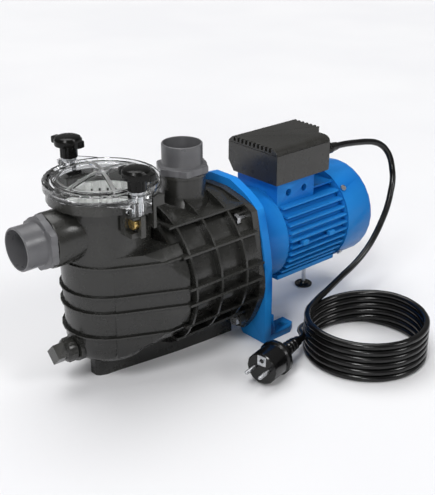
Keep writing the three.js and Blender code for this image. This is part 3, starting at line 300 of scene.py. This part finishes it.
def painted(name, dark, light, pale):
    """Gloss paint on castings: slight orange peel, paler edges and painted shade towards the floor."""
    paint = Painter(name)
    tone = paint.blend(paint.spread(paint.noise(9, 3), 0, 1), dark, light)
    paint.set(
        # Painted shade: the colour darkens towards the floor.
        Base_Color=paint.paler_edges(paint.painted_shade_below(tone, 0.2, 0.22), pale, 0.6),
        Roughness=paint.spread(paint.noise(60), 0.28, 0.42),
        Metallic=0.0, Specular_IOR_Level=0.08, Coat_Weight=0.08, Coat_Roughness=0.08)
    paint.relief(paint.noise(420, 3), 0.09 * MM, 0.8 * MM)
    return paint.material


def metal(name, dark, light, roughness):
    """Bare or plated metal with drawn scratches and uneven sheen."""
    paint = Painter(name)
    stain = paint.spread(paint.noise(45, 5), 0, 1)
    paint.set(
        Base_Color=paint.blend(stain, dark, light), Metallic=1.0,
        Roughness=paint.spread(paint.noise(260, 5), roughness - 0.08, roughness + 0.12))
    paint.relief(paint.noise(780, 3), 0.03 * MM, 0.4 * MM)
    return paint.material


def rubber(name, dark, light, roughness):
    """Smooth rubber with dull patches and a fine skin."""
    paint = Painter(name)
    dust = paint.spread(paint.noise(35, 5), 0, 1)
    paint.set(
        Base_Color=paint.blend(dust, dark, light),
        Roughness=paint.spread(paint.noise(40, 3), roughness - 0.04, roughness + 0.06),
        Specular_IOR_Level=0.38)
    paint.relief(paint.noise(300, 2), 0.02 * MM, 0.5 * MM)
    return paint.material


def clear(name):
    """Clear moulded plastic with a fine frosting on the tops of the lid's ribs and ring."""
    paint = Painter(name)
    place = paint.node("ShaderNodeSeparateXYZ", Vector=paint.place).outputs
    along = paint.arithmetic("SUBTRACT", place["X"], STRAINER_X * MM)
    squares = [paint.arithmetic("MULTIPLY", side, side) for side in (along, place["Y"])]
    radius_squared = paint.arithmetic("ADD", *squares)
    radius = paint.arithmetic("SQRT", radius_squared)
    fall = (LID_CROWN - LID_WINDOW_EDGE) / (LID_WINDOW_RADIUS ** 2 * MM)
    drop = paint.arithmetic("MULTIPLY", radius_squared, fall)
    window = paint.arithmetic("SUBTRACT", LID_CROWN * MM, drop)
    raised = paint.spread(paint.arithmetic("SUBTRACT", place["Z"], window), 0, 1, 0.8 * MM, 1.8 * MM)
    inside = paint.spread(radius, 1, 0, (LID_WINDOW_RADIUS - 1) * MM, (LID_WINDOW_RADIUS + 2) * MM)
    frosted = paint.arithmetic("MULTIPLY", raised, inside)
    gloss = paint.spread(paint.noise(60), 0.0, 0.03)
    paint.set(
        Base_Color=paint.blend(frosted, (0.97, 0.98, 0.985), (1.0, 1.0, 1.0)),
        Roughness=paint.arithmetic("ADD", gloss, paint.arithmetic("MULTIPLY", frosted, 0.5)),
        Transmission_Weight=1.0, IOR=1.5)
    paint.relief(paint.noise(90, 2), 0.015 * MM)
    return paint.material


FINISHES = {
    "black_plastic": moulded("black_plastic", (0.019, 0.019, 0.0172), (0.027, 0.027, 0.0245), 0.25),
    "gloss_black": moulded("gloss_black", (0.003, 0.003, 0.0027), (0.006, 0.006, 0.0055), 0.22, 0.2),
    "grey_plastic": moulded("grey_plastic", (0.085, 0.085, 0.090), (0.115, 0.115, 0.121), 0.34),
    "clear_plastic": clear("clear_plastic"),
    "blue_paint": painted(
        "blue_paint", (0.0002, 0.110, 0.480), (0.0006, 0.155, 0.640), (0.03, 0.33, 0.80)),
    "box_plastic": moulded("box_plastic", (0.015, 0.0145, 0.013), (0.023, 0.0225, 0.020), 0.3),
    "rubber": rubber("rubber", (0.0025, 0.0025, 0.0025), (0.005, 0.005, 0.005), 0.18),
    "pale_plastic": moulded("pale_plastic", (0.78, 0.79, 0.77), (0.88, 0.89, 0.86), 0.5),
    "steel": metal("steel", (0.50, 0.51, 0.53), (0.68, 0.69, 0.71), 0.27),
    "brass": metal("brass", (0.48, 0.33, 0.12), (0.66, 0.47, 0.18), 0.25),
    "cast_iron": metal("cast_iron", (0.10, 0.10, 0.11), (0.17, 0.17, 0.18), 0.55),
    "copper": metal("copper", (0.42, 0.15, 0.05), (0.62, 0.24, 0.09), 0.32),
    "ceramic": moulded("ceramic", (0.72, 0.70, 0.64), (0.82, 0.80, 0.75), 0.3),
}


# ---- finishing a piece ----------------------------------------------------------------
CREASE_ANGLE = math.radians(34)
EDGE_ROUNDING = {                   # on CAD pieces with plain flat faces
    "terminal_box_base": 1.0, "terminal_box_lid": 0.8, "terminal_block": 0.6, "plug_earth_contact": 0.3,
}


def soften(piece, width=0):
    """Round the sharp edges of a piece by a width and shade it smooth between them."""
    if width:
        bevel = piece.modifiers.new("bevel", "BEVEL")
        bevel.width = width * MM
        bevel.segments = 2
        bevel.limit_method = "ANGLE"
        bevel.angle_limit = CREASE_ANGLE
        bevel.harden_normals = True
    piece.data.shade_smooth()
    split = piece.modifiers.new("crease", "EDGE_SPLIT")
    split.split_angle = CREASE_ANGLE


def install(piece, body, finish, *nodes):
    """Ride on a body, take a finish and stand for the CAD nodes."""
    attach(piece, body)
    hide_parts(*nodes)
    piece.data.materials.clear()
    piece.data.materials.append(FINISHES[finish])


def paint_cad_pieces():
    """Give every CAD node its finish, one skin of shared corners and smooth curved faces."""
    for part in frame["record"]["subparts"]:
        piece = NODES[part["node"]]
        piece.data.materials.clear()
        piece.data.materials.append(FINISHES[part["material_slot"]])
        flat_shading = piece.data.attributes.get("custom_normal")
        if flat_shading:
            piece.data.attributes.remove(flat_shading)
        weld = piece.modifiers.new("weld", "WELD")
        weld.merge_threshold = 0.01 * MM
        soften(piece, EDGE_ROUNDING.get(part["node"], 0))


# ---- mains cord -----------------------------------------------------------------------
def coil_point(degrees, radius, height):
    angle = math.radians(degrees)
    return (COIL_CENTRE[0] + radius * math.cos(angle), COIL_CENTRE[1] + radius * math.sin(angle), height)


def coil_points():
    """Flat turns lying on each other, each stepping down to the next just before it closes."""
    step_down_from = 0.7            # share of a turn
    last_turn_ends = 0.76
    top = CORD_DIAMETER / 2 + (COIL_TURNS - 1) * COIL_PITCH
    points = []
    for turn in range(COIL_TURNS):
        last = turn == COIL_TURNS - 1
        for step in range(STEPS_PER_TURN):
            share = step / STEPS_PER_TURN
            if last and share > last_turn_ends:
                break
            drop = 0 if last else smooth_step((share - step_down_from) / (1 - step_down_from))
            height = top - COIL_PITCH * (turn + drop)
            points.append(coil_point(COIL_START + 360 * share, COIL_RADIUS, height))
    return points


def tail_points():
    """The bottom turn widens beside the coil and rises into the neck of the plug."""
    floor = CORD_DIAMETER / 2
    points = []
    for degrees in (30, 50, 70, 90, 108, 124):
        wider = 9 * smooth_step((degrees - 10) / 60)
        lift = 17 * smooth_step((degrees - 66) / 76)
        points.append(coil_point(degrees, COIL_RADIUS + wider, floor + lift))
    back = math.radians(PLUG_ANGLE - 180)
    for before_neck in (10, -2, -9):
        along = PLUG_NECK_LENGTH + before_neck
        points.append((
            PLUG_FACE[0] + along * math.cos(back), PLUG_FACE[1] + along * math.sin(back), PLUG_FACE[2]))
    return points


def make_cord():
    points = CORD_ROUTE + coil_points() + tail_points()
    curve = bpy.data.curves.new("power_cord", "CURVE")
    curve.dimensions = "3D"
    curve.bevel_depth = 1               # the radius of each point scales it to the cord's
    curve.bevel_resolution = 6
    curve.resolution_u = 6
    spline = curve.splines.new("BEZIER")
    spline.bezier_points.add(len(points) - 1)
    for bezier_point, point in zip(spline.bezier_points, points):
        bezier_point.co = metres(point)
        bezier_point.radius = CORD_DIAMETER * MM / 2
        bezier_point.handle_left_type = "AUTO"
        bezier_point.handle_right_type = "AUTO"
    cord = link("power_cord", curve)
    install(cord, "pump", "rubber", "power_cord_tube", "power_cord_coil")


make_cord()
paint_cad_pieces()


# ---- mesh building --------------------------------------------------------------------
def mesh_of(vertices, faces):
    """Mesh from corners in millimetres, with its faces turned outward."""
    mesh = bpy.data.meshes.new("built")
    mesh.from_pydata([metres(vertex) for vertex in vertices], [], faces)
    builder = bmesh.new()
    builder.from_mesh(mesh)
    bmesh.ops.recalc_face_normals(builder, faces=builder.faces)
    builder.to_mesh(mesh)
    builder.free()
    return mesh


def revolved(profile, centre=(0, 0), steps=96, swell=None):
    """Closed solid turned about a vertical axis; swell(radius, z, angle) may change a radius."""
    vertices = []
    rows = []
    for radius, z in profile:
        if radius == 0:
            rows.append([len(vertices)] * steps)
            vertices.append((*centre, z))
            continue
        rows.append(list(range(len(vertices), len(vertices) + steps)))
        for step in range(steps):
            angle = 2 * math.pi * step / steps
            reach = swell(radius, z, angle) if swell else radius
            vertices.append((centre[0] + reach * math.cos(angle), centre[1] + reach * math.sin(angle), z))
    if profile[0][0] > 0:
        rows.append(rows[0])
    faces = []
    for low, high in zip(rows, rows[1:]):
        for step in range(steps):
            after = (step + 1) % steps
            corners = [low[step], low[after], high[after], high[step]]
            faces.append(list(dict.fromkeys(corners)))
    return mesh_of(vertices, [face for face in faces if len(face) > 2])


def bridged(first, second):
    """Closed solid between two outlines with the same number of corners."""
    count = len(first)
    sides = [(i, (i + 1) % count, count + (i + 1) % count, count + i) for i in range(count)]
    return mesh_of([*first, *second], [tuple(range(count)), tuple(range(count, 2 * count)), *sides])


def prism(outline, bottom, top):
    """Upright solid with the given plan outline."""
    low, high = ([(x, y, z) for x, y in outline] for z in (bottom, top))
    return bridged(low, high)


def rectangle(left, front, right, back):
    """Plan outline between two x and two y values."""
    return [(left, front), (right, front), (right, back), (left, back)]


def ring_points(count, radius, start=0.0, centre=(0, 0)):
    """Corners of a regular polygon; start is in degrees."""
    angles = [math.radians(start + 360 * i / count) for i in range(count)]
    return [(centre[0] + radius * math.cos(a), centre[1] + radius * math.sin(a)) for a in angles]


def turned(mesh, degrees):
    """The mesh turned about the strainer's axis."""
    pivot = Matrix.Translation(metres((*STRAINER_AXIS, 0)))
    mesh.transform(pivot @ Matrix.Rotation(math.radians(degrees), 4, "Z") @ pivot.inverted())
    return mesh


def joined(meshes):
    """Separate meshes gathered into one."""
    builder = bmesh.new()
    for mesh in meshes:
        builder.from_mesh(mesh)
    result = bpy.data.meshes.new("joined")
    builder.to_mesh(result)
    builder.free()
    return result


def combined(added, removed=(), within=()):
    """One clean mesh: the added ones united, less the removed ones, and only what lies within the last."""
    base = link("base", added[0])
    helpers = [base]
    for operation, meshes in (("UNION", added[1:]), ("DIFFERENCE", removed), ("INTERSECT", within)):
        for mesh in meshes:
            helper = link("helper", mesh)
            helpers.append(helper)
            boolean = base.modifiers.new("boolean", "BOOLEAN")
            boolean.solver = "MANIFOLD"
            boolean.operation = operation
            boolean.object = helper
    evaluated = base.evaluated_get(bpy.context.evaluated_depsgraph_get())
    result = bpy.data.meshes.new_from_object(evaluated)
    builder = bmesh.new()
    builder.from_mesh(result)
    bmesh.ops.remove_doubles(builder, verts=builder.verts, dist=0.03 * MM)
    bmesh.ops.dissolve_limit(
        builder, angle_limit=math.radians(0.5), verts=builder.verts, edges=builder.edges)
    builder.to_mesh(result)
    builder.free()
    for helper in helpers:
        bpy.data.objects.remove(helper)
    return result


def make_piece(name, mesh, body, finish, node):
    """Smooth piece that rides on a body and stands for one CAD node."""
    piece = link(name, mesh)
    soften(piece)
    install(piece, body, finish, node)


# ---- strainer lid ---------------------------------------------------------------------
def window_height(radius):
    """Height of the domed window at a distance from the axis of the lid."""
    return LID_CROWN - (LID_CROWN - LID_WINDOW_EDGE) * (radius / LID_WINDOW_RADIUS) ** 2


def dome(lift, inner=0.0, outer=LID_WINDOW_RADIUS):
    """Profile of the window from the outer to the inner radius, lifted by a height."""
    steps = 9
    radii = [outer + (inner - outer) * step / steps for step in range(steps + 1)]
    return [(radius, window_height(radius) + lift) for radius in radii]


def lid_disc():
    """Domed window in a stout rim, with a groove round the top of the rim."""
    groove = [
        (LID_GROOVE_RADIUS + 2.5, LID_TOP), (LID_GROOVE_RADIUS + 0.9, LID_TOP - 3),
        (LID_GROOVE_RADIUS - 0.9, LID_TOP - 3), (LID_GROOVE_RADIUS - 2.5, LID_TOP)]
    return revolved([
        *dome(-LID_WINDOW_THICKNESS, 0, LID_WINDOW_RADIUS - 1)[::-1],
        (LID_WINDOW_RADIUS, LID_BOTTOM + 3.6), (LID_WINDOW_RADIUS + 1, LID_BOTTOM),
        (LID_RADIUS - 0.6, LID_BOTTOM), (LID_RADIUS, LID_BOTTOM + 0.6),
        (LID_RADIUS, LID_TOP - 1.5), (LID_RADIUS - 1.5, LID_TOP), *groove,
        (LID_WINDOW_RADIUS + 1.4, LID_TOP), *dome(0),
    ], STRAINER_AXIS)


def lid_ring():
    """Low raised ring on the window."""
    inner = LID_RING_RADIUS
    outer = LID_RING_RADIUS + 2
    top = window_height(inner) + 2
    return revolved([
        (inner, window_height(inner) - 0.6), (outer, window_height(outer) - 0.6),
        (outer - 0.3, top), (inner + 0.3, top),
    ], STRAINER_AXIS)


def lid_boss():
    """Round boss with a dished top, where the ribs meet."""
    top = LID_CROWN + 2.4
    dish = LID_CROWN + 1
    return revolved([
        (0, LID_CROWN - 2), (10, LID_CROWN - 2), (9, top), (5.5, top), (4, dish), (0, dish),
    ], STRAINER_AXIS, 48)


def lid_rib(angle):
    """Radial rib that stands on the window and runs out over the rim."""
    edge = dome(LID_RIB_HEIGHT, 6, LID_WINDOW_RADIUS + 2) + dome(-1.5, 6, LID_WINDOW_RADIUS + 2)[::-1]
    sides = ([(STRAINER_X + radius, y, z) for radius, z in edge]
             for y in (-LID_RIB_HALF_WIDTH, LID_RIB_HALF_WIDTH))
    return turned(bridged(*sides), angle)


def lid_beads():
    profile = [
        (0, LID_BOTTOM + 4.6), (2.1, LID_BOTTOM + 4.6), (2.1, LID_TOP - 0.5),
        (1.2, LID_TOP - 0.1), (0, LID_TOP - 0.1)]
    places = ring_points(LID_BEADS, LID_RADIUS - 2.4, 5, STRAINER_AXIS)
    return [revolved(profile, place, 12) for place in places]


def lid_ear():
    """Clear tab round the near hand screw: a tapered web, a skirt and raised side walls."""
    left = KNOB_NEAR[0] - EAR_LEFT
    right = KNOB_NEAR[0] + EAR_RIGHT
    front = -EAR_REACH
    back = -EAR_ROOT
    web = prism([(left - 18, back + 2), (left, front), (right, front), (right + 10, back)],
                LID_BOTTOM, LID_TOP - 6)
    tower = prism(rectangle(left + 3, front + 2, right - 2, back), LID_BOTTOM, LID_TOP)
    skirt = prism(rectangle(left, front, right, -COLLAR_RADIUS - 1.8), EAR_BOTTOM, LID_BOTTOM + 1)
    wall_outlines = [
        [(left - 19, back + 2), (left, front), (left + 2, front + 1), (left - 16, back + 3)],
        [(right + 11, back), (right, front), (right - 2, front + 1), (right + 8, back + 1)],
        rectangle(left, front, right, front + 1.6),
    ]
    return [web, tower, skirt, *(prism(outline, LID_BOTTOM, LID_TOP) for outline in wall_outlines)]


def lug_space():
    """Room under the lid for the lug of the pot that holds the near screw."""
    left = KNOB_NEAR[0] - EAR_LEFT - 5
    right = KNOB_NEAR[0] + EAR_RIGHT + 1
    return prism(rectangle(left, -COLLAR_RADIUS - 1.9, right, -50), BELOW_LID, LID_BOTTOM)


def ring_space(inner, outer, bottom, top):
    """Ring of rectangular section about the strainer's axis."""
    return revolved([(inner, bottom), (outer, bottom), (outer, top), (inner, top)], STRAINER_AXIS)


def stud_space(centre, bottom, top):
    """Room for the stud of a hand knob."""
    return revolved([(0, bottom), (STUD_RADIUS, bottom), (STUD_RADIUS, top), (0, top)], centre, 24)


def make_lid():
    ears = lid_ear() + [turned(part, 180) for part in lid_ear()]
    ribs = [lid_rib(angle) for angle in LID_RIB_ANGLES]
    seal_groove = ring_space(56, 61, LID_BOTTOM - 0.4, LID_BOTTOM + 2.6)
    collar_space = ring_space(40, COLLAR_RADIUS + 1.6, BELOW_LID, LID_BOTTOM)
    stud_spaces = [stud_space(centre, BELOW_LID, ABOVE_LID) for centre in (KNOB_NEAR, KNOB_FAR)]
    lug_spaces = [turned(lug_space(), angle) for angle in (0, 180)]
    mesh = combined(
        [lid_disc(), *ears, lid_ring(), lid_boss(), *ribs, *lid_beads()],
        [seal_groove, collar_space, *stud_spaces, *lug_spaces])
    make_piece("strainer_lid_clear", mesh, "lid", "clear_plastic", "strainer_lid")


# ---- strainer basket ------------------------------------------------------------------
def basket_slots():
    """Both rows of slots as one mesh."""
    half_width = BASKET_SLOT_WIDTH / 2
    outline = rectangle(STRAINER_X + 38, -half_width, STRAINER_X + 52, half_width)
    return joined([
        turned(prism(outline, bottom, top), 360 * i / BASKET_SLOTS)
        for bottom, top in BASKET_SLOT_ROWS for i in range(BASKET_SLOTS)])


def make_basket():
    """Pale cup with upright grooves inside and two rows of narrow slots in them."""
    floor_radius, rim_radius = BASKET_INNER_RADII

    def grooved(radius, z, angle):
        if radius not in BASKET_INNER_RADII:
            return radius
        return radius + BASKET_GROOVE_DEPTH * max(0, math.cos(BASKET_SLOTS * angle))

    cup = revolved([
        (0, BASKET_BOTTOM), (43.6, BASKET_BOTTOM), (44.1, BASKET_BOTTOM + 0.5), (46, BASKET_RIM_TOP - 4.8),
        (BASKET_RIM_RADIUS - 0.4, BASKET_RIM_TOP - 3.6), (BASKET_RIM_RADIUS, BASKET_RIM_TOP - 3.2),
        (BASKET_RIM_RADIUS, BASKET_RIM_TOP - 0.4), (BASKET_RIM_RADIUS - 0.4, BASKET_RIM_TOP),
        (rim_radius, BASKET_RIM_TOP), (floor_radius, BASKET_FLOOR), (0, BASKET_FLOOR),
    ], STRAINER_AXIS, 8 * BASKET_SLOTS, grooved)
    mesh = combined([cup], [basket_slots()])
    make_piece("strainer_basket_moulded", mesh, "basket", "pale_plastic", "strainer_basket")


# ---- hand knobs -----------------------------------------------------------------------
def make_knob(side, centre, wing_angles):
    """Mushroom knob: fluted stem, domed cap and two flat finger wings."""
    wings = [math.radians(angle) for angle in wing_angles]

    def fluted_and_winged(radius, z, angle):
        if z < KNOB_CAP_Z:
            return radius - KNOB_FLUTE_DEPTH * max(0, math.cos(KNOB_FLUTES * angle)) ** 3
        if KNOB_CAP_Z + 0.5 < z < KNOB_TOP - 3.8:
            for wing in wings:
                off = abs((angle - wing + math.pi) % (2 * math.pi) - math.pi)
                radius += KNOB_WING_REACH * (1 - smooth_step((off - 0.2) / 0.16))
        return radius

    turned_knob = revolved([
        (0, KNOB_BOTTOM), (KNOB_STEM_RADIUS - 0.6, KNOB_BOTTOM), (KNOB_STEM_RADIUS, KNOB_BOTTOM + 0.6),
        (KNOB_STEM_RADIUS, KNOB_CAP_Z - 0.1), (KNOB_STEM_RADIUS + 0.8, KNOB_CAP_Z),
        (KNOB_CAP_RADIUS - 1.4, KNOB_CAP_Z + 0.4), (KNOB_CAP_RADIUS - 0.4, KNOB_CAP_Z + 1),
        (KNOB_CAP_RADIUS, KNOB_CAP_Z + 2), (KNOB_CAP_RADIUS, KNOB_TOP - 5),
        (KNOB_CAP_RADIUS - 0.4, KNOB_TOP - 4), (KNOB_CAP_RADIUS - 1.2, KNOB_TOP - 3.4),
        (KNOB_CAP_RADIUS - 2, KNOB_TOP - 1.9), (KNOB_CAP_RADIUS - 4.6, KNOB_TOP - 0.8),
        (KNOB_CAP_RADIUS - 8.6, KNOB_TOP - 0.2), (0, KNOB_TOP),
    ], centre, 120, fluted_and_winged)
    mesh = combined([turned_knob], [stud_space(centre, KNOB_BOTTOM - 12, KNOB_CAP_Z + 0.3)])
    make_piece(f"hand_knob_{side}_moulded", mesh, f"{side}_knob", "gloss_black", f"hand_knob_{side}")


# ---- port adapters --------------------------------------------------------------------
def adapter_nut(base):
    """Hexagon with its corners turned down at both ends."""
    corner = NUT_CORNER_RADIUS
    turned_down = revolved([
        (0, base - 1), (corner - 2, base - 1), (corner + 0.1, base + 1.2),
        (corner + 0.1, base + NUT_HEIGHT - 1.2), (corner - 2, base + NUT_HEIGHT + 1),
        (0, base + NUT_HEIGHT + 1),
    ])
    return combined([prism(ring_points(6, corner), base, base + NUT_HEIGHT)], within=[turned_down])


def adapter_pipe(base, mouth):
    """Smooth pipe with a collar at its foot that fills the nut."""
    collar = ADAPTER_COLLAR_RADIUS
    return revolved([
        (0, base), (collar - 0.5, base), (collar, base + 0.5), (collar, base + 8.2),
        (collar - 0.6, base + 8.8), (PIPE_RADIUS + 1.4, base + 9.2), (PIPE_RADIUS + 0.3, base + 10),
        (PIPE_RADIUS, base + 11), (PIPE_RADIUS, mouth - 0.9), (PIPE_RADIUS - 0.8, mouth), (0, mouth),
    ])


def adapter_spigot(face, base):
    """Threaded end that screws into the socket."""
    foot = face - SPIGOT_LENGTH
    thread = [(SPIGOT_RADIUS - THREAD_DEPTH * (turn % 2), foot + turn) for turn in range(SPIGOT_LENGTH)]
    return revolved([(0, foot), *thread, (SPIGOT_RADIUS - THREAD_DEPTH, base + 1), (0, base + 1)])


def adapter_bore(face, base, mouth):
    foot = face - SPIGOT_LENGTH - 1
    return revolved([
        (0, foot), (SPIGOT_BORE_RADIUS, foot), (SPIGOT_BORE_RADIUS, base + NUT_HEIGHT),
        (PIPE_BORE_RADIUS, base + NUT_HEIGHT + 4), (PIPE_BORE_RADIUS + 0.2, mouth - 1),
        (PIPE_BORE_RADIUS + 0.8, mouth + 1), (0, mouth + 1),
    ])


def make_adapter(port, face, mouth, placing):
    """Adapter built upright on the height of its socket's face, then moved by a matrix."""
    base = face + 0.5
    mesh = combined(
        [adapter_pipe(base, mouth), adapter_nut(base), adapter_spigot(face, base)],
        [adapter_bore(face, base, mouth)])
    mesh.transform(placing)
    make_piece(f"{port}_adapter_moulded", mesh, "pump", "grey_plastic", f"{port}_adapter")


def make_adapters():
    upright = Matrix.Translation(metres((DISCHARGE_X, 0, 0)))
    make_adapter("discharge", DISCHARGE_FACE_Z, DISCHARGE_TOP_Z, upright)
    lying = Matrix.Translation(metres((SUCTION_FACE_X, 0, SUCTION_Z))) @ Matrix.Rotation(-math.pi / 2, 4, "Y")
    make_adapter("suction", 0, SUCTION_FACE_X - SUCTION_MOUTH_X, lying)


make_lid()
make_basket()
make_knob("near", KNOB_NEAR, (100, -75))
make_knob("far", KNOB_FAR, (280, 105))
make_adapters()


# ---- floor and light ------------------------------------------------------------------
def make_floor():
    mesh = bpy.data.meshes.new("floor")
    corners = rectangle(-FLOOR_HALF, -FLOOR_HALF, FLOOR_HALF, FLOOR_HALF)
    mesh.from_pydata([(x, y, 0) for x, y in corners], [], [(0, 1, 2, 3)])
    paint = Painter("floor")
    cloud = paint.spread(paint.noise(2, 2), 0, 1)
    paint.set(Base_Color=paint.blend(cloud, (0.80, 0.80, 0.82), (0.83, 0.83, 0.845)), Roughness=0.6)
    mesh.materials.append(paint.material)
    link("floor", mesh)


def add_softbox(name, azimuth, elevation, width, strength):
    """A broad far light, in the given direction from the object."""
    light = bpy.data.lights.new(name, "SUN")
    light.angle = math.radians(width)
    light.energy = strength
    lamp = link(name, light)
    lamp.location = direction(azimuth, elevation)
    aim(lamp, direction(azimuth, elevation))


def add_strainer_light():
    """Small lamp under the clear lid: stands for the daylight that a refracting lid lets in."""
    light = bpy.data.lights.new("strainer_light", "POINT")
    light.shadow_soft_size = STRAINER_LIGHT_RADIUS
    light.energy = STRAINER_LIGHT_POWER
    lamp = link("strainer_light", light)
    lamp.location = metres((*STRAINER_AXIS, STRAINER_LIGHT_Z))
    lamp.visible_camera = False
    lamp.visible_glossy = False
    lamp.visible_transmission = False


def make_lights():
    world = bpy.data.worlds.new("studio")
    world.use_nodes = True
    background = world.node_tree.nodes["Background"]
    background.inputs["Color"].default_value = (1.0, 1.0, 1.0, 1)
    background.inputs["Strength"].default_value = WORLD_STRENGTH
    bpy.context.scene.world = world
    for name, settings in SOFTBOXES.items():
        add_softbox(name, *settings)
    add_strainer_light()


make_floor()
make_lights()
bpy.context.scene.view_settings.view_transform = "Standard"
